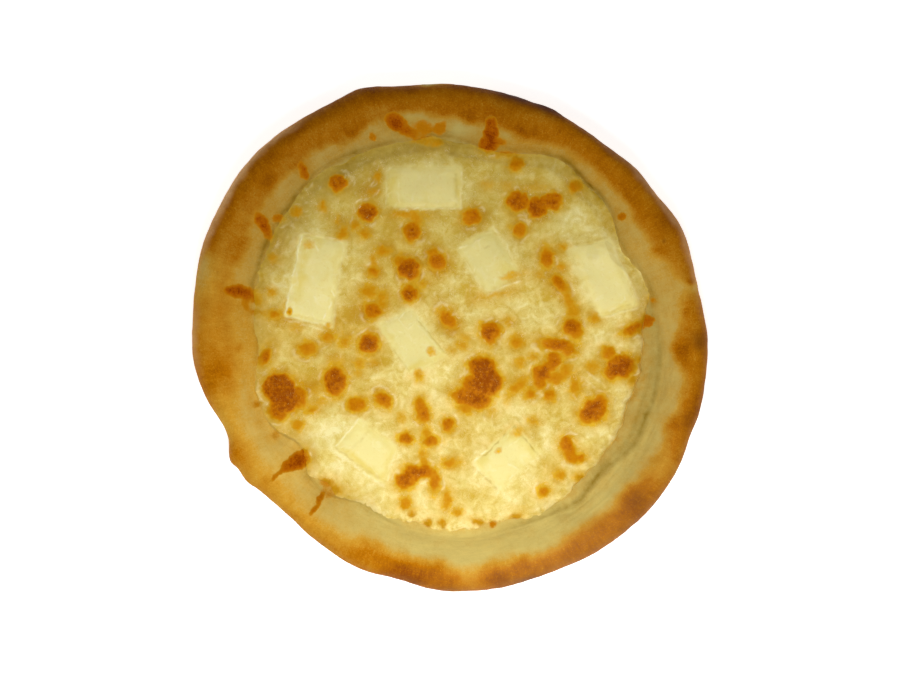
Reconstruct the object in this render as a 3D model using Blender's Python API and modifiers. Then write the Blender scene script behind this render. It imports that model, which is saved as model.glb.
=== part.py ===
"""A round, uncut white-cheese pizza as baked: a hand-pressed crust with a raised rim, a melted cheese
layer in its well and soft-cheese slices sunk in that layer. Sizes are written in millimetres and turned
into metres as the meshes are made. Angles are degrees, counter-clockwise from +X seen from above."""

import math

import bpy
import numpy as np
from mathutils import Vector, noise

MM = 0.001
GAP = 0.3

# The outline: a slightly oval ring, with the swells and dents that hands leave in dough.
# Each swell is (angle, half width in degrees, height).
OUTLINE_RADIUS = 124.3
OVAL_SWELL = 4.4
OVAL_TURN = 137.0
OUTLINE_SWELLS = (
    (1, 6, 0.64), (26, 9, 3.6), (42, 6, 2.0), (66, 3, 0.9), (82, 9, -0.6), (98, 6, -1.4),
    (110, 4.5, 1.8), (139, 11, 1.5), (159, 7, 0.9), (185, 6, 1.5), (202, 6, -3.3),
    (209, 2.6, 2.6), (215, 3, 1.4), (226, 9, -2.7), (238, 8, -1.2), (258, 6, -2.0),
    (275, 8, -0.75), (288, 9, -1.8), (298, 9, -1.9), (311, 9, -1.0), (337, 5, -1.3),
)

# The foot of the rim's inner wall, where it meets the floor of the well.
FOOT_RADIUS = 97.0
FOOT_SWELLS = (
    (0, 8, 2.6), (14, 7, 1.4), (27, 7, -4.2), (43, 7, 2.6), (57, 8, 4.4), (77, 9, -4.8),
    (128, 13, 4.2), (149, 10, 1.6), (183, 7, -5.0), (216, 7, -8.0), (242, 8, -6.2), (253, 7, -2.4),
    (308, 7, 4.6), (330, 9, 6.0), (347, 12, 6.2),
)

# Bare floor shows between the cheese and the wall on the right-hand side.
BARE_FLOOR_SWELLS = ((293, 6, 4.6), (315, 9, 5.5), (331, 8, 5.0), (348, 11, 9.5), (3, 6, 5.0))
CHEESE_CLEARANCE = 0.8

# The crust's section, as (share of the way from foot to outline, height), from the wall's foot over
# the crest and down the outer side to the flat underside.
FLOOR_HEIGHT = 6.0
RIM_CREST = 20.0
CREST_SHARE = 0.68
RIM_SECTION = (
    (0.00, 6.0), (0.03, 7.8), (0.08, 10.2), (0.17, 12.9), (0.29, 15.5), (0.42, 17.8), (0.55, 19.4),
    (0.68, 20.0), (0.79, 19.4), (0.88, 17.7), (0.95, 15.0), (0.99, 12.0), (1.00, 9.3), (0.985, 6.4),
    (0.94, 3.6), (0.86, 1.4), (0.76, 0.3), (0.68, 0.0),
)
TOP_POINTS = 12
FLOOR_RINGS = (48.0, 90.0)
CRUST_STEPS = 108

# The crest rises and sinks round the rim, and the wall is steep in some places and slack in others.
CREST_SWELLS = (
    (50, 26, 1.6), (101, 10, 0.9), (140, 18, 1.0), (182, 12, -0.8), (203, 9, -1.8), (225, 14, -2.0),
    (255, 12, -0.6), (285, 9, 0.8), (312, 10, -0.7), (345, 14, 0.9),
)
WALL_SWELLS = ((45, 35, 0.35), (120, 20, -0.15), (165, 22, -0.25), (325, 32, -0.30))
DOUGH_WAVE = 17.0
DOUGH_WAVE_HEIGHT = 0.7

# The cheese layer.
CHEESE_TOP = 10.6
CHEESE_EDGE = 2.9
CHEESE_STEPS = 96
CHEESE_RINGS = 17
CHEESE_WAVE = 11.0
CHEESE_WAVE_HEIGHT = 0.75
SCALLOP_WAVE = 9.0
SCALLOP_DEPTH = 1.3

# Browned blisters of the cheese: (x, y, long half axis, short half axis, turn of the long axis).
BLISTERS = (
    (-80.8, -28.3, 11.6, 9.4, 100), (-55.4, -20.7, 8.2, 6.2, 80), (16.5, -18.2, 8.6, 7.4, 70),
    (8.8, -29.4, 7.4, 5.0, 160), (-17.8, -66.4, 9.0, 3.8, 12), (82.2, -12.9, 6.4, 5.4, 20),
    (70.0, -35.8, 6.4, 6.0, 60), (53.0, -3.2, 7.6, 3.4, 10), (48.4, -13.8, 6.2, 3.2, 40),
    (-19.5, 33.8, 5.6, 5.2, 0), (-39.9, 60.6, 5.0, 4.4, 30), (-54.0, 74.7, 4.6, 4.2, 0),
    (-17.5, 51.3, 4.5, 4.2, 0), (-6.3, 36.2, 4.6, 4.2, 0), (-19.9, 21.2, 3.9, 3.8, 0),
    (-37.5, 12.9, 4.5, 3.9, 20), (-39.4, -3.6, 5.0, 4.7, 0), (-1.0, 8.5, 5.2, 3.0, 120),
    (-68.6, -5.6, 4.6, 4.2, 0), (-44.3, -32.8, 4.6, 4.0, 0), (-32.6, -30.4, 4.6, 3.8, 90),
    (-13.1, -36.2, 5.8, 3.2, 100), (33.1, 65.9, 5.2, 4.8, 0), (41.8, 62.5, 5.2, 4.4, 0),
    (49.6, 65.9, 4.6, 4.2, 0), (11.2, 59.1, 4.5, 3.9, 0), (47.2, 38.7, 4.8, 2.9, 100),
    (54.0, 26.0, 4.8, 3.0, 125), (19.5, 4.1, 4.9, 4.7, 0), (59.3, 5.1, 4.4, 4.0, 0),
    (57.5, -52.0, 4.6, 3.0, 110), (60.8, 72.7, 2.9, 2.6, 0), (-86.6, -8.8, 4.4, 2.5, 62),
    (86.6, 2.4, 5.4, 2.3, 22),
)
BLISTER_SIDES = 10
BLISTER_RISE = 1.3

# Toasted shreds on the rim's inner slope: (x, y, length, width, turn, taper).
SHREDS = (
    (18.5, 98.9, 15.5, 8.0, 86, 0.25), (-23.7, 101.0, 13.0, 5.0, -40, 0.1),
    (-10.2, 99.6, 5.5, 3.2, -25, 0.0), (-71.5, 80.5, 4.6, 3.0, 40, 0.0),
    (-90.8, 54.8, 15.0, 3.6, -62, 0.1), (-102.6, 21.4, 13.5, 4.8, -12, 0.45),
    (-76.4, -62.4, 12.4, 7.6, 20, 0.3), (-85.4, -67.2, 8.2, 2.0, 36, 0.3),
    (-65.0, -81.2, 9.0, 3.0, 62, 0.3), (82.6, 57.8, 4.2, 3.4, 0, 0.0),
)
SHRED_SIDES = 10
SHRED_RISE = 1.0
FUSE_DEPTH = 0.7

# Soft-cheese slices: the four corners of each, counter-clockwise, half melted into the layer.
SLICE_CORNERS = (
    ((-30.6, 62.5), (5.8, 62.5), (5.8, 82.9), (-30.6, 82.9)),
    ((-80.3, 10.5), (-57.9, 5.1), (-50.6, 46.0), (-72.5, 50.3)),
    ((19.5, 19.7), (33.6, 31.9), (20.4, 53.7), (2.9, 42.6)),
    ((71.5, 9.5), (91.4, 15.3), (78.3, 47.4), (57.9, 44.0)),
    ((-19.0, -18.2), (-1.0, -9.0), (-18.0, 14.3), (-35.0, 6.1)),
    ((-32.1, -72.2), (-26.3, -53.3), (-43.8, -39.2), (-56.4, -52.8)),
    ((24.3, -74.7), (43.8, -54.7), (31.6, -43.0), (11.7, -59.6)),
)
SLICE_BOTTOM = 7.8
SLICE_TOP = 12.4
SLICE_ROUNDING = 1.7
POCKET_TOP = 20.0

# Base colours (linear), with roughness.
CRUST_FINISH = ((0.46, 0.22, 0.035, 1.0), 0.72)
CHEESE_FINISH = ((0.67, 0.47, 0.12, 1.0), 0.42)
SLICE_FINISH = ((0.80, 0.69, 0.27, 1.0), 0.38)


def swell(angle, swells):
    """The sum of smooth swells at an angle in degrees, each (centre, half width, height)."""
    total = 0.0
    for centre, half_width, height in swells:
        away = (angle - centre + 180.0) % 360.0 - 180.0
        total += height * math.exp(-((away / half_width) ** 2))
    return total


def outer_radius(angle):
    oval = OVAL_SWELL * math.cos(math.radians(2.0 * (angle - OVAL_TURN)))
    return OUTLINE_RADIUS + oval + swell(angle, OUTLINE_SWELLS)


def foot_radius(angle):
    return FOOT_RADIUS + swell(angle, FOOT_SWELLS)


def wave(x, y, length, seed):
    """Smooth unevenness between about -1 and 1, with bumps about as far apart as length."""
    return noise.noise(Vector((x / length, y / length, seed)))


def cheese_radius(angle):
    reach = foot_radius(angle) - CHEESE_CLEARANCE - swell(angle, BARE_FLOOR_SWELLS)
    turn = math.radians(angle)
    scallop = wave(reach * math.cos(turn), reach * math.sin(turn), SCALLOP_WAVE, 4.7)
    return reach - SCALLOP_DEPTH * abs(scallop)


def wall_share(share, angle):
    """Moves the points of the inner wall in or out, for a steeper or slacker wall."""
    if not 0.0 < share < CREST_SHARE:
        return share
    power = 1.0 + swell(angle, WALL_SWELLS)
    return CREST_SHARE * (share / CREST_SHARE) ** power


def rim_height(height, x, y, angle):
    """A height of the section, carried to this place on the rim."""
    if height <= FLOOR_HEIGHT:
        return height
    lift = (RIM_CREST - FLOOR_HEIGHT + swell(angle, CREST_SWELLS)) / (RIM_CREST - FLOOR_HEIGHT)
    rise = (height - FLOOR_HEIGHT) / (RIM_CREST - FLOOR_HEIGHT)
    unevenness = DOUGH_WAVE_HEIGHT * wave(x, y, DOUGH_WAVE, 1.3) * min(1.0, 2.0 * rise)
    return FLOOR_HEIGHT + (height - FLOOR_HEIGHT) * lift + unevenness


def crust_top(x, y):
    """The height of the crust's upper side at a place."""
    angle = math.degrees(math.atan2(y, x))
    foot = foot_radius(angle)
    share = (math.hypot(x, y) - foot) / (outer_radius(angle) - foot)
    shares = [wall_share(at, angle) for at, _ in RIM_SECTION[:TOP_POINTS]]
    heights = [height for _, height in RIM_SECTION[:TOP_POINTS]]
    return rim_height(float(np.interp(share, shares, heights)), x, y, angle)


def cheese_top(x, y):
    """The height of the melted layer's upper side, which thins out at its edge."""
    angle = math.degrees(math.atan2(y, x))
    inward = cheese_radius(angle) - math.hypot(x, y)
    edge = min(1.0, max(0.0, inward / 5.0))
    body = CHEESE_TOP + CHEESE_WAVE_HEIGHT * wave(x, y, CHEESE_WAVE, 2.1)
    thinned = FLOOR_HEIGHT + GAP + CHEESE_EDGE
    return thinned + (body - thinned) * math.sqrt(edge)


def finish(obj, colour_and_roughness):
    material = bpy.data.materials.new(obj.name)
    material.use_nodes = True
    shader = material.node_tree.nodes["Principled BSDF"]
    shader.inputs["Base Color"].default_value = colour_and_roughness[0]
    shader.inputs["Roughness"].default_value = colour_and_roughness[1]
    shader.inputs["Metallic"].default_value = 0.0
    material.diffuse_color = colour_and_roughness[0]
    obj.data.materials.clear()
    obj.data.materials.append(material)


def new_collection(name):
    collection = bpy.data.collections.new(name)
    bpy.context.scene.collection.children.link(collection)
    return collection


def move_to(obj, collection):
    for holder in list(obj.users_collection):
        holder.objects.unlink(obj)
    collection.objects.link(obj)


def apply_modifiers(obj):
    bpy.context.view_layer.objects.active = obj
    for modifier in list(obj.modifiers):
        bpy.ops.object.modifier_apply(modifier=modifier.name)


def turned(name, section, steps, collection):
    """A closed body turned from a section that runs from the axis at the top to the axis below."""
    mesh = bpy.data.meshes.new(name)
    edges = [(at, at + 1) for at in range(len(section) - 1)]
    mesh.from_pydata([(radius * MM, 0.0, height * MM) for radius, height in section], edges, [])
    obj = bpy.data.objects.new(name, mesh)
    collection.objects.link(obj)
    screw = obj.modifiers.new("turn", "SCREW")
    screw.steps = steps
    screw.render_steps = steps
    screw.use_merge_vertices = True
    screw.merge_threshold = 0.0001
    apply_modifiers(obj)
    return obj


def reshape(obj, rule):
    """Moves every vertex of a mesh, by a rule from millimetres to millimetres."""
    for vertex in obj.data.vertices:
        vertex.co = Vector(rule(*(vertex.co / MM))) * MM
    obj.data.update()


def crust_rule(x, y, height):
    """Carries a point of the even turned crust to its place in the hand-pressed one."""
    radius = math.hypot(x, y)
    angle = math.degrees(math.atan2(y, x))
    foot = foot_radius(angle)
    if radius <= FOOT_RADIUS:
        scale = foot / FOOT_RADIUS
        return x * scale, y * scale, height
    share = (radius - FOOT_RADIUS) / (OUTLINE_RADIUS - FOOT_RADIUS)
    if height > FLOOR_HEIGHT:
        share = wall_share(share, angle)
    new_radius = foot + share * (outer_radius(angle) - foot)
    new_x = x / radius * new_radius
    new_y = y / radius * new_radius
    return new_x, new_y, rim_height(height, new_x, new_y, angle)


def cheese_rule(x, y, height):
    radius = math.hypot(x, y)
    if radius < 0.001:
        return x, y, cheese_top(x, y) if height > FLOOR_HEIGHT + 1.0 else height
    scale = cheese_radius(math.degrees(math.atan2(y, x))) / FOOT_RADIUS
    new_x = x * scale
    new_y = y * scale
    if height > FLOOR_HEIGHT + CHEESE_EDGE:
        height = cheese_top(new_x, new_y)
    return new_x, new_y, height


def draped(name, place, half_sizes, turn, taper, rise, sides, surface, collection):
    """A low rounded patch that lies on a surface and reaches FUSE_DEPTH into it."""
    bpy.ops.mesh.primitive_uv_sphere_add(segments=sides, ring_count=6, radius=MM)
    obj = bpy.context.object
    obj.name = name
    move_to(obj, collection)
    cosine = math.cos(math.radians(turn))
    sine = math.sin(math.radians(turn))

    def rule(along, across, up):
        length = along * half_sizes[0]
        width = across * half_sizes[1] * (1.0 + taper * along)
        x = place[0] + length * cosine - width * sine
        y = place[1] + length * sine + width * cosine
        return x, y, surface(x, y) - FUSE_DEPTH + up * (rise + FUSE_DEPTH)

    reshape(obj, rule)
    return obj


def fuse(obj, patches):
    """Joins patches to a body by one union, then removes them."""
    union = obj.modifiers.new("fuse", "BOOLEAN")
    union.operand_type = "COLLECTION"
    union.collection = patches
    union.operation = "UNION"
    union.solver = "EXACT"
    apply_modifiers(obj)
    for patch in list(patches.objects):
        bpy.data.objects.remove(patch)
    bpy.data.collections.remove(patches)


def slice_block(name, corners, bottom, top, growth, collection):
    """A slab over four corners. Growth pushes its sides and underside outwards."""
    bpy.ops.mesh.primitive_cube_add(size=2.0 * MM)
    obj = bpy.context.object
    obj.name = name
    move_to(obj, collection)
    points = np.array(corners)
    middle = points.mean(axis=0)
    spread = points - middle
    reach = np.linalg.norm(spread, axis=1, keepdims=True)
    points = points + spread / reach * growth * math.sqrt(2.0)

    def rule(across, up, height):
        shares = ((1 - across) * (1 - up), (1 + across) * (1 - up),
                  (1 + across) * (1 + up), (1 - across) * (1 + up))
        x, y = sum(share / 4.0 * point for share, point in zip(shares, points))
        return x, y, (top if height > 0 else bottom - growth)

    reshape(obj, rule)
    return obj


def make_crust(collection):
    inner = [(0.0, FLOOR_HEIGHT)]
    inner += [(radius, FLOOR_HEIGHT) for radius in FLOOR_RINGS]
    width = OUTLINE_RADIUS - FOOT_RADIUS
    rim = [(FOOT_RADIUS + share * width, height) for share, height in RIM_SECTION]
    crust = turned("crust", inner + rim + [(0.0, 0.0)], CRUST_STEPS, collection)
    reshape(crust, crust_rule)
    shreds = new_collection("shreds")
    for number, (x, y, length, width, turn, taper) in enumerate(SHREDS, 1):
        draped(f"shred_{number}", (x, y), (length / 2.0, width / 2.0), turn, taper,
               SHRED_RISE, SHRED_SIDES, crust_top, shreds)
    fuse(crust, shreds)
    finish(crust, CRUST_FINISH)
    return crust


def make_cheese(collection, cutters):
    bottom = FLOOR_HEIGHT + GAP
    # Rings lie closer together towards the edge, where the steps of the turning are wider apart.
    rings = [FOOT_RADIUS * (at / CHEESE_RINGS) ** 0.8 for at in range(CHEESE_RINGS + 1)]
    section = [(radius, CHEESE_TOP) for radius in rings]
    section += [(FOOT_RADIUS, bottom + 0.6 * CHEESE_EDGE), (FOOT_RADIUS - 0.5, bottom), (0.0, bottom)]
    cheese = turned("cheese_layer", section, CHEESE_STEPS, collection)
    reshape(cheese, cheese_rule)
    blisters = new_collection("blisters")
    for number, (x, y, long_half, short_half, turn) in enumerate(BLISTERS, 1):
        draped(f"blister_{number}", (x, y), (long_half, short_half), turn, 0.0,
               BLISTER_RISE, BLISTER_SIDES, cheese_top, blisters)
    fuse(cheese, blisters)
    pockets = cheese.modifiers.new("pockets", "BOOLEAN")
    pockets.operand_type = "COLLECTION"
    pockets.collection = cutters
    pockets.operation = "DIFFERENCE"
    pockets.solver = "EXACT"
    finish(cheese, CHEESE_FINISH)
    return cheese


def make_slice(number, corners, collection, cutters):
    pocket = slice_block(f"pocket_{number}", corners, SLICE_BOTTOM, POCKET_TOP, GAP, cutters)
    pocket.hide_render = True
    pocket.display_type = "WIRE"
    slab = slice_block(f"cheese_slice_{number}", corners, SLICE_BOTTOM, SLICE_TOP, 0.0, collection)
    bevel = slab.modifiers.new("soft_edges", "BEVEL")
    bevel.width = SLICE_ROUNDING * MM
    bevel.segments = 3
    bevel.limit_method = "NONE"
    finish(slab, SLICE_FINISH)
    return slab


def main():
    for obj in list(bpy.data.objects):
        bpy.data.objects.remove(obj)
    collection = new_collection("pizza")
    cutters = new_collection("slice_pockets")
    for number, corners in enumerate(SLICE_CORNERS, 1):
        make_slice(number, corners, collection, cutters)
    crust = make_crust(collection)
    cheese = make_cheese(collection, cutters)
    for obj in (crust, cheese):
        obj.data.shade_smooth()
        obj.data.set_sharp_from_angle(angle=math.radians(50.0))


main()
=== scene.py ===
"""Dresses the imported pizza: baked dough skin, melted cheese with its browned blisters, soft-cheese
slices and toasted shreds, seen from straight above. Shapes are worked out in millimetres and turned
into metres as a mesh is moved. Angles are degrees, counter-clockwise from +X seen from above."""

import math

import bpy
import numpy as np
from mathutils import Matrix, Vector, noise


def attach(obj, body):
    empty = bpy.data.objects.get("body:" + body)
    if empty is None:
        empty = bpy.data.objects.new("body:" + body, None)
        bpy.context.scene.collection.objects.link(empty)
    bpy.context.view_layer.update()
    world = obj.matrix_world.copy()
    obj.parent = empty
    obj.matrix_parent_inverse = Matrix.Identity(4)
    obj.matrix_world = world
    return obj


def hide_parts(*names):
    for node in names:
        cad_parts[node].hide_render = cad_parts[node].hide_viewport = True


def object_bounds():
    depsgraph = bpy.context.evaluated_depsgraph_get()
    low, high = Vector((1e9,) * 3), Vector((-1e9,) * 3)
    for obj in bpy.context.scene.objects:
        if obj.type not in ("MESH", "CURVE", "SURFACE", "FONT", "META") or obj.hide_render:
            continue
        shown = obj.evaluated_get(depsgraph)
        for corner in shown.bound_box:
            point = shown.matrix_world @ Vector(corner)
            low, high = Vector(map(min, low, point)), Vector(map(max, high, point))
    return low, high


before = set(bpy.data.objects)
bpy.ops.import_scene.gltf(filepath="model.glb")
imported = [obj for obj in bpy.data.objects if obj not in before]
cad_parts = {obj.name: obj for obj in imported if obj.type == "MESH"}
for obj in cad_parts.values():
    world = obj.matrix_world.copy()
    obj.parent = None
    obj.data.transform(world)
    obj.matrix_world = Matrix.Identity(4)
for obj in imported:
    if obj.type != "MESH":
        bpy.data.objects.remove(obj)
CAD_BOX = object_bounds()

bl_info = {
    "name": "White Cheese Pizza",
    "version": (1, 0, 0),
    "blender": (4, 5, 0),
    "location": "3D View > Sidebar > Pizza",
    "description": "Builds the surfaces of a round white-cheese pizza, piece by piece",
    "category": "Object",
}

# One millimetre in metres, the gap between pieces in millimetres, and how close together, in
# metres, the vertices lie that are merged.
MM = 0.001
GAP = 0.3
MERGE_DISTANCE = 0.000002

# ---------------------------------------------------------------------------------------------
# The same named sizes as the solids: outline, wall, rim section, cheese and slices.
# Each swell is (angle, half width in degrees, height).

OUTLINE_RADIUS = 124.3
OVAL_SWELL = 4.4
OVAL_TURN = 137.0
OUTLINE_SWELLS = (
    (1, 6, 0.64), (26, 9, 3.6), (42, 6, 2), (66, 3, 0.9), (82, 9, -0.6), (98, 6, -1.4), (110, 4.5, 1.8),
    (139, 11, 1.5), (159, 7, 0.9), (185, 6, 1.5), (202, 6, -3.3), (209, 2.6, 2.6), (215, 3, 1.4),
    (226, 9, -2.7), (238, 8, -1.2), (258, 6, -2), (275, 8, -0.75), (288, 9, -1.8), (298, 9, -1.9),
    (311, 9, -1), (337, 5, -1.3),
)
FOOT_RADIUS = 97.0
FOOT_SWELLS = (
    (0, 8, 2.6), (14, 7, 1.4), (27, 7, -4.2), (43, 7, 2.6), (57, 8, 4.4), (77, 9, -4.8), (128, 13, 4.2),
    (149, 10, 1.6), (183, 7, -5), (216, 7, -8), (242, 8, -6.2), (253, 7, -2.4), (308, 7, 4.6),
    (330, 9, 6), (347, 12, 6.2),
)
FLOOR_HEIGHT = 6.0
RIM_CREST = 20.0
CREST_SHARE = 0.68
RIM_SECTION = (
    (0, 6), (0.03, 7.8), (0.08, 10.2), (0.17, 12.9), (0.29, 15.5), (0.42, 17.8), (0.55, 19.4), (0.68, 20),
    (0.79, 19.4), (0.88, 17.7), (0.95, 15), (0.99, 12), (1, 9.3), (0.985, 6.4), (0.94, 3.6), (0.86, 1.4),
    (0.76, 0.3), (0.68, 0),
)
CREST_SWELLS = (
    (50, 26, 1.6), (101, 10, 0.9), (140, 18, 1), (182, 12, -0.8), (203, 9, -1.8), (225, 14, -2),
    (255, 12, -0.6), (285, 9, 0.8), (312, 10, -0.7), (345, 14, 0.9),
)
WALL_SWELLS = ((45, 35, 0.35), (120, 20, -0.15), (165, 22, -0.25), (325, 32, -0.3))
DOUGH_WAVE = 17.0
DOUGH_WAVE_HEIGHT = 0.7
CHEESE_TOP = 10.6
CHEESE_WAVE = 11.0
CHEESE_WAVE_HEIGHT = 0.75
SLICE_BOTTOM = 7.8
SLICE_TOP = 12.4
CORNER_SOFTNESS = 1.3
SLICE_MOUND = 0.85
SLICE_LIFT = 0.38

# Soft-cheese slices: the four corners of each, counter-clockwise.
SLICE_CORNERS = (
    ((-30.6, 62.5), (5.8, 62.5), (5.8, 82.9), (-30.6, 82.9)),
    ((-80.3, 10.5), (-57.9, 5.1), (-50.6, 46), (-72.5, 50.3)),
    ((19.5, 19.7), (33.6, 31.9), (20.4, 53.7), (2.9, 42.6)),
    ((71.5, 9.5), (91.4, 15.3), (78.3, 47.4), (57.9, 44)),
    ((-19, -18.2), (-1, -9), (-18, 14.3), (-35, 6.1)),
    ((-32.1, -72.2), (-26.3, -53.3), (-43.8, -39.2), (-56.4, -52.8)),
    ((24.3, -74.7), (43.8, -54.7), (31.6, -43), (11.7, -59.6)),
)

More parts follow.
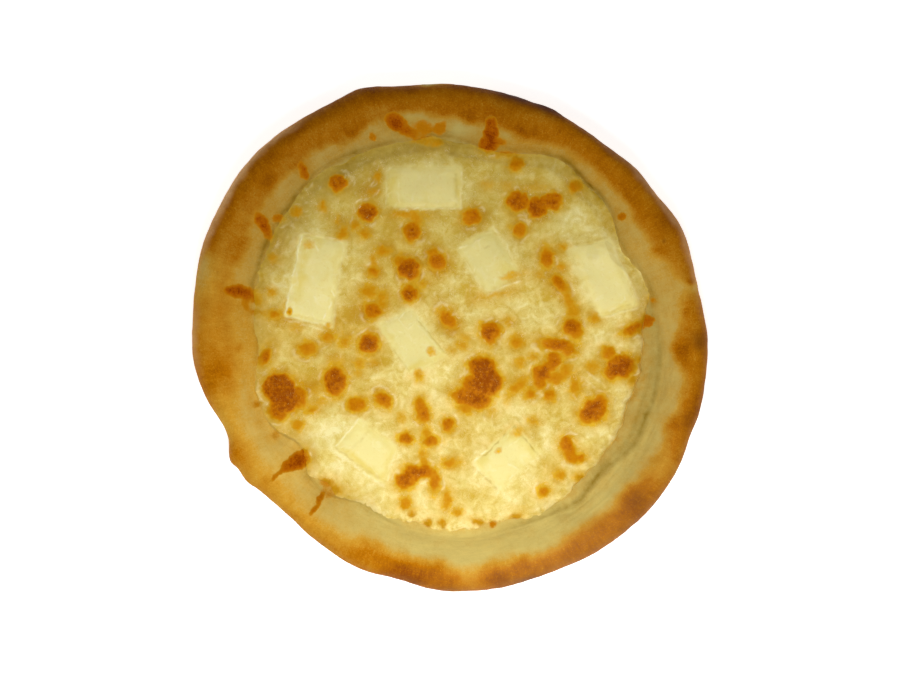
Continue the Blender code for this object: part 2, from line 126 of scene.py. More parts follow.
# Browned blisters and shreds of cheese, on the cheese and on the rim's slope, as overlapping round
# patches: (x, y, long half axis, short half axis, turn of the long axis, tone). Tone runs from 0,
# unbrowned, to 1, dark brown; a tiny spot takes more than 1 to come out dark.
BROWNED = (
    (-54.5, 75.1, 4.6, 4.4, 0, 0.85), (-40.1, 60.6, 4.6, 4.4, 0, 0.97), (-41.3, 50.8, 2.9, 2.4, 0, 0.48),
    (-46.2, 54.7, 2.4, 2.9, 0, 0.42), (-18.2, 51.5, 4.4, 4.6, 0, 0.82), (-21.4, 59.8, 7.3, 2.2, 0, 0.4),
    (-16.5, 57.6, 2.9, 2.9, 0, 0.45), (-52, 50.8, 3.6, 2.2, 75, 0.52), (-54.5, 56.3, 1.5, 1.9, 0, 0.36),
    (-61.8, 63.6, 2.9, 1.9, 105, 0.42), (-35.3, 78.2, 1.5, 2.4, 0, 0.45),
    (-37.5, 70.9, 2.9, 1.9, 0, 0.36), (-74.6, 61.2, 2.9, 2.9, 0, 0.42), (-83.7, 57.8, 2.9, 1.9, -5, 0.62),
    (-86.1, 38.7, 1.9, 2.4, 0, 0.36), (-32.6, 42.1, 3.4, 2.2, 10, 0.52), (-37, 32, 2.7, 2.7, 0, 0.66),
    (-37, 36.7, 4.4, 1.5, 90, 0.42), (-19.9, 33.3, 5.4, 5.4, 0, 0.95), (-23.8, 36.7, 3.4, 3.4, 0, 0.6),
    (-6.1, 36.7, 4.6, 4.1, 110, 0.8), (-8.3, 41.1, 2.9, 2.9, 0, 0.55), (-19.5, 21.2, 4.1, 3.6, 90, 0.88),
    (-13.8, 26, 1.9, 1.5, 20, 0.4), (-39.4, 22.3, 3.9, 3.2, 0, 0.46), (-33.2, 19.2, 3.4, 2.4, 60, 0.45),
    (-37.5, 12.9, 4.4, 4.1, 0, 0.78), (-32.6, 15.8, 3.9, 1.9, 90, 0.42), (-86.7, 22.3, 2.2, 1.9, 0, 0.42),
    (-85.1, 11.2, 2.9, 2.4, 0, 0.58), (-91.4, 12.2, 4.4, 1.2, -10, 0.32),
    (-93.4, 19.2, 1.9, 1.9, 0, 0.35), (-74.6, 5.3, 2.4, 1.9, 0, 0.25), (-58.9, 0.4, 2.7, 2.4, 0, 0.58),
    (-51.1, -2, 2.9, 2.4, 35, 0.44), (-69.1, -5.6, 4.4, 3.4, 10, 0.62), (-39.4, -2.9, 4.9, 4.6, 90, 0.93),
    (-38.9, 1.7, 1.9, 1.9, 0, 0.5), (-90, -9.3, 4.4, 2.4, 62, 0.86), (-83, -24.6, 8.2, 7.5, 0, 1.02),
    (-83.7, -35.8, 4.9, 4.4, 0, 0.8), (-73.9, -28.9, 5.4, 4.4, 90, 0.72), (-80.3, -30.4, 6.8, 6.8, 0, 1),
    (-55.9, -21.2, 7.1, 5.4, 90, 0.95), (-55.2, -10.9, 3.9, 2.4, 0, 0.22), (-45, -32.8, 4.6, 3.6, 0, 0.7),
    (-32.6, -30.2, 4.6, 3.4, -45, 0.76), (-66.9, -34.8, 2.9, 1.9, 15, 0.55),
    (-62.4, -31.2, 2.4, 1.5, 20, 0.35), (-93.4, -32.3, 2.4, 2.4, 0, 0.33),
    (-73.9, -42.6, 3.2, 2.7, 0, 0.48), (-84.6, -47.4, 2.4, 2.4, 0, 0.31),
    (-43.8, -12.4, 2.7, 2.2, 0, 0.42), (-37, -12.4, 1.9, 1.5, 0, 0.32), (-44.7, -17.3, 1.9, 1.5, 0, 0.3),
    (-15.6, -17.3, 2.9, 2.2, 90, 0.42), (-9.2, -6.6, 2.2, 2.2, 0, 0.45),
    (-13.1, -36.7, 4.6, 3.4, 105, 0.78), (-14.6, -32.8, 2.9, 3.4, 0, 0.66),
    (-23.5, -38.9, 2.4, 1.9, 90, 0.28), (-64.7, -25, 2.9, 2.4, 0, 0.22), (-77.8, 12.9, 1.4, 0.9, 75, 1.6),
    (-58.9, 6.1, 1.1, 1.1, 0, 0.6), (-68.9, 45.2, 2.6, 2.4, 0, 0.3), (-1, 8.8, 5.1, 2.9, -57, 0.8),
    (6.3, -3.6, 2.4, 1.7, -20, 0.38), (1, -6.1, 1.9, 1.5, 0, 0.3), (7.8, -0.2, 2.4, 1.5, -30, 0.3),
    (19.5, 2.8, 4.9, 4.6, 0, 0.9), (19.9, -0.7, 2.9, 2.9, 0, 0.7), (32.4, -2.2, 3.4, 2.9, 0, 0.52),
    (28.2, 7.7, 1.9, 1.5, 0, 0.36), (29.2, 29.9, 4.4, 1.9, 10, 0.42), (20.9, 20.7, 3.9, 0.8, 15, 0.35),
    (47, 38.4, 4.9, 2.9, 95, 0.8), (49.9, 40.6, 1.2, 1.2, 0, 0.6), (53.5, 34, 1.9, 1.7, 0, 0.46),
    (55, 43.8, 1.9, 1.7, 0, 0.4), (43.8, 30.9, 1.9, 1.7, 0, 0.28), (53, 26.3, 4.9, 2.7, -50, 0.8),
    (57.9, 17.3, 6.8, 2.2, -68, 0.46), (59.8, 12.4, 3.4, 2.9, 90, 0.42), (59.2, 5.1, 4.4, 4.1, 0, 0.85),
    (61.3, 2.2, 2.9, 2.9, 0, 0.66), (70.5, 9.5, 2.4, 2.4, 0, 0.46), (52.5, -3.6, 7.8, 3.2, -3, 0.86),
    (57.4, -6.1, 3.9, 2.9, 0, 0.7), (50.6, -10.9, 3.9, 3.9, 0, 0.84), (44.6, -17.3, 4.4, 4.4, 0, 0.88),
    (43.8, -21.6, 3.4, 2.9, 90, 0.78), (47.7, -14.3, 4.4, 2.9, 40, 0.8),
    (51.1, -19.7, 4.4, 3.4, 10, 0.58), (55.4, -16.8, 3.4, 2.9, 60, 0.5),
    (33.1, -23.6, 5.4, 2.2, 40, 0.52), (38.9, -27.5, 2.7, 2.7, 0, 0.62), (48.2, -28, 2.9, 2.7, 90, 0.62),
    (60.6, -23.6, 4.4, 2.2, 90, 0.5), (40.4, -9.3, 2.4, 1.9, 0, 0.34), (34, -12.4, 2.4, 1.9, 20, 0.4),
    (27.7, -29.4, 2.4, 1.9, 90, 0.25), (15.4, -14.8, 6.6, 5.8, 0, 0.96), (17.9, -21.6, 7.5, 6.8, 0, 1),
    (10.4, -22.6, 4.4, 4.4, 0, 0.8), (8.8, -28.5, 7.3, 4.6, 0, 0.88), (13.6, -30.4, 6.3, 4.4, 0, 0.88),
    (3.4, -27.5, 3.4, 2.9, 0, 0.62), (7.8, -34.3, 3.9, 2.4, 0, 0.55), (70, -35.3, 5.8, 5.8, 0, 0.9),
    (66.9, -37.5, 4.4, 3.9, 0, 0.82), (72.5, -31.4, 3.4, 3.4, 0, 0.85), (76.9, -7.5, 3.4, 3.4, 0, 0.66),
    (83.2, -13.9, 6.8, 5.6, 5, 0.93), (78.8, -16.3, 3.9, 3.9, 0, 0.85), (69.6, -14.3, 3.4, 2.9, 0, 0.36),
    (91.9, -10.9, 1.7, 1.7, 0, 0.46), (89, -20.9, 1.9, 1.8, 0, 0.5), (90, 4.6, 6.3, 2.4, 25, 0.86),
    (96.8, 8, 2.9, 2.9, 0, 0.72), (56.7, -51.6, 3.9, 3.2, 90, 0.82), (57.9, -55.2, 3.4, 2.9, 90, 0.72),
    (59.3, -58.6, 3.2, 2.4, 0, 0.72), (63.2, -58.4, 2.4, 1.9, 0, 0.74), (45.2, -74.7, 2.7, 2.4, 0, 0.68),
    (53.5, -66.9, 2.4, 2.4, 0, 0.48), (63, -68, 2.3, 2.1, 0, 0.46), (0, -61, 3.2, 1.9, 0, 0.6),
    (-21.2, -48.9, 3.2, 2.7, 0, 0.84), (-9.7, -50.3, 3.6, 2.4, 0, 0.74),
    (-11.2, -46.5, 2.9, 1.9, 90, 0.5), (-1, -42.6, 3.4, 2.7, 90, 0.82),
    (-13.1, -57.6, 3.9, 2.2, 90, 0.42), (-12.6, -61.5, 2.9, 1.9, 90, 0.5),
    (-21.9, -69.6, 4.4, 4.1, 0, 0.9), (-18, -65.7, 4.9, 3.9, 0, 0.93), (-12.2, -64.9, 4.4, 3.4, 0, 0.82),
    (-7.5, -70.3, 4.4, 2.4, 90, 0.76), (-8.3, -65.9, 2.4, 2.4, 0, 0.6),
    (-21.9, -80.5, 2.9, 2.7, 90, 0.55), (-18.7, -85.8, 2.2, 1.9, 90, 0.4),
    (-1.7, -79, 4.6, 2.4, 90, 0.46), (3.6, -84.9, 2.2, 2.2, 0, 0.45), (13.4, -90, 2.7, 1.6, -10, 0.5),
    (20.9, -91, 2, 1.8, 0, 0.52), (31.9, -87, 3.1, 1.9, 20, 0.4), (-3.6, -90.2, 2.2, 2.2, 0, 0.42),
    (-10.7, -90.2, 2.4, 2.4, 0, 0.4), (32.4, -46.2, 2.9, 2.2, 0, 0.36), (23.3, -54.7, 1.4, 1.1, 0, 0.5),
    (40.4, -40.6, 1.9, 1.7, 0, 0.36), (20.2, -35.8, 1.9, 1.5, 0, 0.28), (32.8, 66.1, 5.4, 5.1, 0, 0.86),
    (42.2, 63, 5.1, 5.1, 0, 0.92), (49.9, 66.2, 4.6, 4.4, 0, 0.86), (46.2, 65.4, 3.9, 3.4, 0, 0.84),
    (40.4, 72.7, 6.8, 1.9, 0, 0.2), (10.9, 58.6, 4.6, 4.1, 15, 0.78), (34, 52.3, 3.2, 3.2, 0, 0.7),
    (60.8, 73.2, 3.4, 2.9, 20, 0.6), (32.1, 84.4, 3.9, 3.6, 40, 0.58), (27.7, 89.3, 6.3, 1.7, 0, 0.38),
    (18, 74.2, 2.9, 2.4, 0, 0.2), (28.2, 73.2, 3.4, 2.4, 0, 0.2), (19.7, 102.9, 3.4, 2.6, 90, 0.9),
    (19.5, 98, 4.2, 3.7, 90, 0.95), (19, 94, 4.8, 4, 0, 0.9), (24, 94.3, 3.4, 1.6, -10, 0.66),
    (-26.3, 103.8, 5, 3.6, -35, 0.92), (-21.4, 100.4, 4.6, 3.2, -45, 0.74), (-18, 99, 2.9, 2.4, -45, 0.6),
    (-12.6, 101.4, 5.8, 3.4, -10, 0.4), (-5.8, 100.9, 3.4, 2.9, 0, 0.44),
    (-3.4, 101.9, 2.9, 1.9, 90, 0.46), (-14.6, 97, 4.9, 2.9, 0, 0.34), (-6.3, 94.6, 2.7, 2.2, 0, 0.46),
    (-10.7, 95.6, 4.4, 2.4, 0, 0.34), (-37.7, 96.6, 1.9, 1.9, 0, 0.55), (-71, 80.3, 4.2, 2.1, -72, 0.84),
    (-90.2, 54.2, 6.9, 2.6, -66, 0.9), (-105.5, 22.6, 3.2, 2.2, 0, 1), (-101.7, 22.2, 4.2, 3.1, -5, 0.95),
    (-98.1, 21.4, 3.7, 3.4, 0, 0.76), (-94.8, 18.7, 3.6, 2.6, -40, 0.46),
    (-98.7, 16.3, 4.6, 2.2, 100, 0.42), (-95.8, 12.4, 3.4, 1.9, -30, 0.36),
    (-77.8, -62, 3.9, 2.9, 25, 0.86), (-73.9, -60.1, 4.9, 3.9, 20, 0.95),
    (-71.5, -58.1, 3.4, 3.4, 0, 0.92), (-81.2, -64.4, 2.4, 1.1, 35, 0.8),
    (-84.1, -66.9, 3.9, 0.9, 37, 0.85), (-62.7, -77.6, 3.9, 1.8, 68, 0.68),
    (-65.4, -82.9, 3.4, 1, 60, 0.78), (-59.8, -71.3, 3.9, 2.9, 0, 0.34),
    (-55.9, -74.2, 3.4, 2.4, 0, 0.36), (-58.9, -76.1, 3.9, 2.9, 0, 0.28), (82.7, 58.1, 2.2, 1.9, 0, 0.62),
    (98.7, 17.8, 1.2, 1.1, 0, 0.58),
)
# How far the golden stain reaches beyond a patch.
STAIN_REACH = 2.5
# How sharply patches that overlap keep to the browner of the two.
SPOT_BLEND = 6.0
DARKEST_TONE = 0.96
# The tone from which a pale ring of melt, partly a painted highlight, lies round a patch.
RINGED_FROM = 0.6

# How gradually each side of a slice melts into the cheese, from the side between its first two
# corners on.
SLICE_MELT = (
    (0.7, 0.8, 1.6, 3.2), (0.6, 1.5, 1.3, 0.5), (2.8, 1.8, 1.4, 1.9), (1.1, 1, 1.1, 2.4),
    (1.8, 0.7, 3.2, 1.1), (1.3, 1.4, 0.4, 0.9), (1.4, 0.8, 1, 1),
)

# Thin lines on the slices and on the cheese beside them, the pale ones partly painted highlights and
# glints, the olive ones partly painted shade along edges: (x, y, x, y, half width, height, how much
# paler than the cheese, or how much more olive where it is below 0).
LINES = (
    (-25.3, 62.3, 5.8, 62.5, 0.4, 0.12, 0.55), (5.6, 80.5, 5.4, 62.5, 0.4, 0.14, 0.6),
    (2.7, 79.5, 2.9, 64, 0.8, -0.05, -0.35), (-25.5, 77.6, -24.3, 64.9, 0.5, 0.06, 0.3),
    (-30.9, 77.6, -30.9, 64.4, 0.45, 0.1, 0.35), (-71.7, 50.4, -79.9, 11.8, 0.42, 0.35, 1),
    (-79.3, 10.2, -58.1, 5.8, 0.45, 0.28, 0.8), (-78.3, 11.5, -57.9, 7.4, 0.45, -0.1, -0.4),
    (-80, 8.8, -59.3, 3.2, 0.42, 0.16, 0.5), (-71.5, 50.8, -52.5, 47.2, 0.45, 0.12, 0.45),
    (-51.6, 46, -56.4, 7.5, 0.5, 0.12, 0.35), (-67.1, 37.2, -64.7, 16.8, 0.9, 0.05, 0.25),
    (-72.3, 42, -77.2, 20.7, 0.9, 0.06, 0.35), (-57.3, 23, -56, 20.2, 0.4, 0.1, 1.3),
    (-57.2, 17.6, -58.4, 14, 0.4, 0.1, 1.2), (-60.4, 11.8, -61.6, 9.4, 0.4, 0.1, 1.2),
    (-65.6, 45.8, -63.8, 42.2, 0.4, 0.1, 1), (-66, 20, -64, 16.6, 0.4, 0.1, 1),
    (20.9, 54.2, 27.7, 44.5, 0.6, 0.2, 0.65), (27.7, 44.5, 30.2, 38.7, 0.5, 0.12, 0.4),
    (4.4, 43.3, 8.3, 44.7, 0.4, 0.22, 0.85), (11.7, 45.7, 16.5, 48.6, 0.4, 0.18, 0.7),
    (18.4, 20.9, 25.8, 24.6, 0.38, 0.15, 0.55), (25.8, 24.6, 34, 27.1, 0.38, 0.15, 0.65),
    (15.1, 43, 19.9, 44.3, 0.45, -0.08, -0.4), (7.8, 37.2, 13.1, 27, 0.45, 0.1, 0.35),
    (57.9, 44.7, 76.4, 48.5, 0.45, -0.08, -0.3), (75.2, 10, 91.4, 14.3, 0.5, 0.2, 0.6),
    (75.2, 11.7, 88, 16.3, 0.5, -0.06, -0.3), (77.8, 46, 91.9, 18.2, 0.8, 0.1, 0.45),
    (-16.2, 8.8, -1.2, -8.7, 0.38, -0.08, -0.6), (-17, 7.8, -2.2, -9.6, 0.45, 0.12, 0.4),
    (-28.5, -4.6, -19.5, -16.5, 0.38, -0.08, -0.5), (-21.9, 11.9, -24.8, 8.5, 0.36, 0.16, 0.75),
    (-24.8, 8.5, -20.4, 3.6, 0.36, 0.18, 0.8), (-20.4, 3.6, -17, 6.6, 0.36, 0.18, 0.8),
    (-17, 6.6, -12.6, 4.6, 0.36, 0.14, 0.6), (-31.1, 7.5, -25.3, 9.5, 0.45, 0.12, 0.5),
    (-19, -16.8, -1.9, -9.5, 0.5, 0.08, 0.3), (-55.5, -52.8, -44.1, -39.4, 0.36, 0.4, 1),
    (-55.4, -53.9, -30.2, -70.9, 0.55, -0.12, -0.5), (-56.4, -55.2, -31.6, -72.7, 0.6, 0.22, 0.55),
    (-47.7, -54.2, -37.9, -44, 0.8, -0.05, -0.22), (-26.3, -54.2, -30.6, -70.8, 0.45, 0.1, 0.4),
    (15, -59, 31.1, -43, 0.45, -0.1, -0.8), (31.1, -43, 43.3, -57.6, 0.45, -0.1, -0.9),
    (11, -62.9, 22.9, -73.2, 0.45, -0.1, -0.7), (14.6, -57.6, 17.5, -54.7, 0.36, 0.24, 1),
    (11.7, -60.1, 13.6, -58.6, 0.36, 0.2, 0.85), (27.2, -53.3, 34.5, -48.9, 0.4, 0.12, 0.45),
    (28.2, -61, 33.6, -64.4, 0.42, 0.16, 0.6), (33.6, -64.4, 28.7, -68.3, 0.42, 0.12, 0.45),
    (54.5, -48.4, 58.4, -46, 0.36, 0.18, 0.8), (58.4, -46, 61.8, -46.9, 0.36, 0.18, 0.8),
    (50.1, 9.5, 56.4, 11.4, 0.4, 0.15, 0.5), (46.2, -5.6, 59.3, -7.1, 0.4, 0.15, 0.5),
    (9.7, 25.5, 24.3, 22.1, 0.4, 0.1, 0.3), (66.2, -16.8, 73.9, -22.6, 0.38, 0.16, 0.6),
    (64.7, -19.2, 71.5, -25.5, 0.38, 0.14, 0.55), (17.5, 8, 15.6, 3.6, 0.36, 0.16, 0.6),
    (14.6, 3.2, 17, -2.2, 0.36, 0.16, 0.6), (17, -2.2, 21.4, -3.2, 0.36, 0.16, 0.6),
    (59.8, -4.6, 58.9, -8.5, 0.38, 0.2, 0.8), (51.6, 6.1, 53.5, 10, 0.38, 0.18, 0.7),
    (-45.7, 65.4, -43.3, 66.9, 0.4, 0.18, 0.7), (-38.4, 73.7, -36, 77.6, 0.38, 0.2, 0.9),
    (-37, 68.8, -34, 71.7, 0.38, 0.2, 0.9), (-44.6, 62, -43, 64, 0.5, 0.1, 1.3),
    (-36.5, 58.5, -36.2, 59.6, 0.4, 0.1, 1.1), (-56.2, -20.6, -54.6, -19.8, 0.8, 0.1, 1.2),
)

# How olive or how pale the lines may get.
LINE_SHADE = (-1.0, 1.3)

# Clusters of short curled threads in the melted cheese, drawn pale, partly as painted highlights:
# (x, y, spread, how many).
THREADS = (
    (-42, 74, 8, 44), (-66, 60, 8, 34), (14, 19, 14, 52), (20, 3, 7, 16), (66, 72, 8, 16),
    (70, -24, 7, 24), (-4, -40, 18, 24), (40, -66, 14, 16), (-60, -36, 14, 16), (-15, 30, 20, 24),
    (-62, 15, 14, 16), (46, 48, 12, 20), (0, -76, 26, 28), (0, 0, 46, 80),
)

# Golden pools of oil on the cheese, and creamy places where the strength is below 0: (x, y, spread,
# strength).
OIL_POOLS = (
    (-50, 10, 9, 0.9), (-82, -1, 8, 0.4), (64, 53, 8, -0.8), (-59, -48, 10, -0.8), (11, -49, 7, 0.6),
    (46, -63, 6, 0.5), (16, -73, 7, 0.4), (34, 59, 6, 0.8), (79, 0, 6, -0.6), (-41, 71, 6, 0.9),
    (-83, 27, 7, -0.8), (-66, 58, 6, -0.5), (-29, 51, 6, 0.5), (-10, 57, 6, 0.5), (-68, -24, 7, 0.7),
    (64, -23, 6, 0.5), (-12, 30, 9, 0.3),
)

# Yellow places where a slice has melted thin: (x, y, long half axis, short half axis, turn of the
# long axis, strength).
THIN_FACES = (
    (-71.8, 30, 17, 2.6, 79, 0.9), (-66, 46, 6, 3.4, -10, 0.7), (-54.5, 41, 5, 2.4, 80, 0.6),
    (-43.6, -60.2, 14, 1.8, -39, 1), (-30, -62, 9, 1.6, 75, 0.5), (31.4, -47, 4.4, 3.8, 0, 0.9),
    (38, -54, 5, 2.4, -48, 0.7), (15.4, -60, 4.4, 3, 40, 0.7), (-28.6, 70, 11, 4.4, 90, 1),
    (3.9, 72, 9, 1.5, 90, 0.7), (27, 33, 7, 3, -50, 0.6), (8, 36, 8, 1.6, -62, 0.4),
    (82, 13.4, 9, 2.6, 16, 0.8), (61, 40, 4, 2, 0, 0.3), (-4.4, -8.6, 5, 4, 0, 0.7),
    (-17, -14, 7, 2.2, 27, 0.7), (-30, 2, 6, 2, -60, 0.4),
)
# How dull each slice is, from the first slice on.
SLICE_DULLNESS = (-0.07, 0, 0.14, 0, 0.16, 0.06, 0.11)
# A small round dent in the slice at the right, its hollow also painted darker as shade: x, y, radius,
# depth.
DENT = (69.6, 41.4, 3.4, 0.3)

# How far short of the wall's foot the melted cheese ends, where bare dough shows.
CHEESE_INSETS = (
    (87, 6, 2.2), (171, 5, 1.4), (211, 3, 1.4), (229, 6, 3), (246, 5, 1), (267, 9, 3), (289, 6, 2.2),
    (309, 6, 5.2), (334, 14, 8.8), (351, 11, 6.5), (3, 6, 1.5), (258, 8, 2.6), (281, 9, 3.2),
    (302, 8, 1.6), (318, 9, 2), (334, 8, 1.4), (2, 9, 3),
)
# Where its edge is crumbly, and where it winds in and out.
RAGGED_EDGE = ((255, 42, 0.8), (320, 34, 0.5), (0, 12, 0.3), (160, 14, 0.5), (200, 16, 0.3))
WAVY_EDGE = ((90, 12, 0.6), (125, 22, 1), (160, 12, 0.7))
# Where the cheese ends in a thick lip along the wall.
LIP = ((47, 15, 1),)

# ---------------------------------------------------------------------------------------------
# Browning of the dough, by angle round the rim: the radius where the browned band begins, how
# brown the band is, and how brown the slope inside it is.

BROWN_LINE = (
    (0, 107.5), (5, 112), (12, 113.8), (18, 112), (22, 106), (30, 105.5), (40, 106.5), (50, 106.2),
    (60, 105.8), (66, 103), (72, 100.8), (77, 102.6), (85, 104), (92, 106), (100, 108.6), (106, 110),
    (111, 108.8), (116, 106), (122, 109.9), (130, 110.6), (140, 110.8), (150, 109), (158, 106.5),
    (165, 110), (172, 107), (180, 104), (185, 102.6), (192, 104.6), (200, 109), (208, 110), (216, 108),
    (225, 108), (235, 109), (242, 109.2), (250, 104.8), (256, 106.6), (262, 108.6), (267, 108.4),
    (272, 112), (280, 110.6), (288, 110.8), (295, 113.2), (305, 111.8), (312, 112.8), (318, 111.6),
    (326, 113), (334, 116), (338, 111.2), (343, 115.2), (350, 114.2), (356, 107.5),
)
BAND_TONE = (
    (0, 0.62), (8, 0.56), (12, 0.44), (17, 0.5), (22, 0.6), (30, 0.62), (45, 0.66), (60, 0.66),
    (72, 0.61), (85, 0.66), (95, 0.64), (105, 0.63), (115, 0.62), (125, 0.58), (140, 0.57), (155, 0.57),
    (167, 0.42), (175, 0.5), (185, 0.54), (192, 0.56), (200, 0.35), (208, 0.5), (218, 0.44), (230, 0.44),
    (240, 0.52), (250, 0.62), (259, 0.8), (268, 0.74), (274, 0.58), (281, 0.78), (290, 0.74), (300, 0.77),
    (310, 0.69), (318, 0.78), (328, 0.5), (338, 0.62), (343, 0.7), (352, 0.6),
)
SLOPE_TONE = (
    (0, 0.17), (30, 0.21), (50, 0.24), (65, 0.28), (80, 0.22), (100, 0.18), (120, 0.19), (140, 0.24),
    (165, 0.26), (180, 0.32), (195, 0.3), (210, 0.2), (225, 0.2), (240, 0.14), (260, 0.03), (285, 0.03),
    (305, 0.06), (330, 0.11),
)
# Patches that differ from the band: (angle, radius, half angle, half width, change of tone).
BAKED_PATCHES = (
    (115.5, 108, 2, 3.5, 0.22), (138.5, 114.8, 2.2, 3, 0.14), (167, 121, 4, 6, -0.18),
    (163, 124, 3, 3, -0.2), (190, 119.5, 5, 6, 0.09), (208.5, 117.5, 3.5, 5, 0.12),
    (203, 115, 2.5, 5, -0.06), (183, 101.5, 1.2, 1.8, 0.22), (247, 107, 3, 4, 0.1),
    (259, 115.3, 4, 5, 0.14), (267, 108.5, 2.5, 3.5, 0.12), (270, 118, 2.5, 4.5, 0.1),
    (274.5, 117, 2.5, 6, -0.12), (281, 117.7, 2.5, 5, 0.14), (288.5, 112.4, 1.5, 3, 0.2),
    (300, 119, 3, 4, 0.06), (317.5, 119.5, 3.5, 7, 0.12), (328, 118, 3, 6, -0.08),
    (338, 114, 1.4, 4, 0.16), (342, 120.5, 3, 5, 0.12), (356.5, 111.5, 2.4, 4.5, 0.16),
    (6.5, 112.5, 3, 3, 0.14), (22, 106.5, 2, 4, 0.12), (29.5, 115, 3, 6, 0.12), (39, 109, 2.5, 3, 0.1),
    (72, 105, 4, 4.5, 0.1), (85, 107, 2, 3, 0.1), (11.5, 121, 1.6, 4.5, -0.34),
    (13.2, 119.5, 1, 2.2, 0.38), (94.5, 123.6, 3.2, 1.8, -0.75), (126, 122.5, 3, 2.5, 0.16),
    (135.4, 120.5, 3, 3, 0.08), (148, 123, 3.5, 3, 0.12), (156.5, 123.5, 3, 2.5, 0.12),
    (149, 112, 4, 3.5, -0.1), (108, 114, 3, 3.5, -0.1), (87, 100.5, 4, 3.5, -0.16),
    (74.5, 101.5, 2.4, 3, -0.2), (99.5, 108, 3, 2, -0.14), (70, 104, 2.4, 2.5, 0.12),
    (156, 108.5, 5, 2.5, 0.08), (172, 106, 3, 3, 0.1), (120, 105, 3, 2.5, 0.1), (33, 106, 2, 3, 0.08),
    (48, 106.5, 2.5, 2.5, 0.1), (15, 111, 3.5, 6, 0.12), (5, 103, 4, 3, -0.06), (188, 112, 3, 4, 0.12),
    (195, 104, 4, 3, -0.08),
)
CHARRED_PATCHES = (
    (359.5, 119.6, 2.4, 4.4, 0.58), (25, 124, 8, 3.5, 0.18), (28, 116, 3.5, 4.5, 0.18),
    (40, 121.5, 9, 4, 0.38), (53, 120.5, 8, 4, 0.5), (66, 121.5, 5, 4.2, 0.95), (75, 121.5, 6, 4.2, 1.1),
    (84, 122.5, 4, 3, 0.5), (101, 123.5, 2.5, 2, 0.15), (108, 126.5, 3.5, 2.6, 0.35),
    (118, 127.5, 6, 2.6, 0.2), (127, 123.5, 4, 3, 0.2), (191, 123.5, 4, 2.5, 0.06),
    (270, 121.5, 3, 2, 0.3), (261, 119, 3, 2.5, 0.25), (288, 123.5, 4, 2.6, 0.62),
    (282, 118.5, 2, 3.5, 0.25), (318.5, 119, 2.6, 4.5, 0.35), (341.5, 120.8, 2.2, 3.5, 0.32),
    (24.5, 112.8, 0.35, 0.6, 0.8),
)
# Drier, floury skin along the outer edge: (angle, half width, strength).
FLOURY_EDGE = (
    (131, 7, 0.7), (145, 9, 1), (157, 6, 0.5), (180, 6, 0.5), (20, 12, 0.5), (38, 10, 0.4),
    (305, 40, 0.08),
)
# The line along the foot of the wall, painted dark as oil and as shade in the crease, and the painted
# shade where the cheese meets the wall: (angle, half width, strength).
CREASE = (
    (52, 13, 0.95), (30, 9, 0.4), (14, 8, 0.4), (78, 7, 0.45), (92, 7, 0.6), (115, 9, 0.75),
    (138, 9, 0.8), (155, 9, 0.95), (166, 5, 0.35), (184, 7, 0.35), (225, 7, 0.35), (243, 9, 0.35),
    (262, 8, 0.12), (292, 9, 0.35), (312, 10, 0.85), (338, 14, 0.75), (0, 9, 0.4),
)
# A second, fainter crease, also painted darker as shade, and soft folds along the wall, also painted
# lighter where raised: (angle, half width, strength).
SECOND_CREASE = ((338, 16, 1),)
FOLDED = ((320, 45, 1), (15, 20, 0.5), (95, 20, 0.6), (200, 20, 0.3))
# Painted shade by angle: how much darker the dough is, apart from its browning, and the thin cheese
# that shows it, darkest on the upper side away from the key light.
SHADE = (
    (0, 0.8), (20, 0.805), (40, 0.77), (60, 0.76), (80, 0.73), (100, 0.71), (120, 0.705), (140, 0.73),
    (160, 0.78), (180, 0.92), (200, 0.97), (220, 0.97), (240, 0.9), (260, 0.92), (280, 0.92),
    (300, 0.855), (320, 0.81), (340, 0.8),
)

# Where looks of the dough change round the rim: how gradually it browns, where its edge is browner
# and its crest floury, where oil lies on the floor, where light is painted on the slope near its foot,
# and where the slope is free of stains.
SOFT_BROWNING = ((275, 62, 3.2), (215, 30, 2.2))
BROWNER_EDGE = ((85, 65, 1), (20, 40, 0.5))
FLOURY_CREST = ((298, 30, 0.12),)
WASHED_FLOOR = ((332, 34, 0.14),)
PAINTED_LIGHT_SLOPE = ((280, 28, 0.06),)
UNSOAKED_SLOPE = ((270, 42, 1), (330, 34, 0.8))

# The same for the cheese: where it is creamier, unstained, thin and painted darker as shade along the
# wall, or crumbly near its edge.
# Painted light and shade: the cheese paler on the lower side and darker on the upper, as the light falls.
SIDE_LIGHT_AND_SHADE = ((265, 55, 0.16), (90, 60, -0.12))
CREAMY_RIM = ((270, 60, 1), (350, 25, 0.6))
CREAMY_EDGE = ((24, 15, 0.9), (48, 15, 0.85), (74, 10, 0.75), (164, 8, 0.55), (272, 38, 0.95))
UNSTAINED_EDGE = ((268, 42, 1),)
THIN_REACH = ((132, 34, 11), (60, 12, 4), (2, 9, 8))
CRUMBLY_EDGE = ((265, 50, 0.8), (345, 25, 0.32))

# ---------------------------------------------------------------------------------------------
# Unevenness, as waves that are summed: (height, spacing, seed). A bend has waves for x and for y.

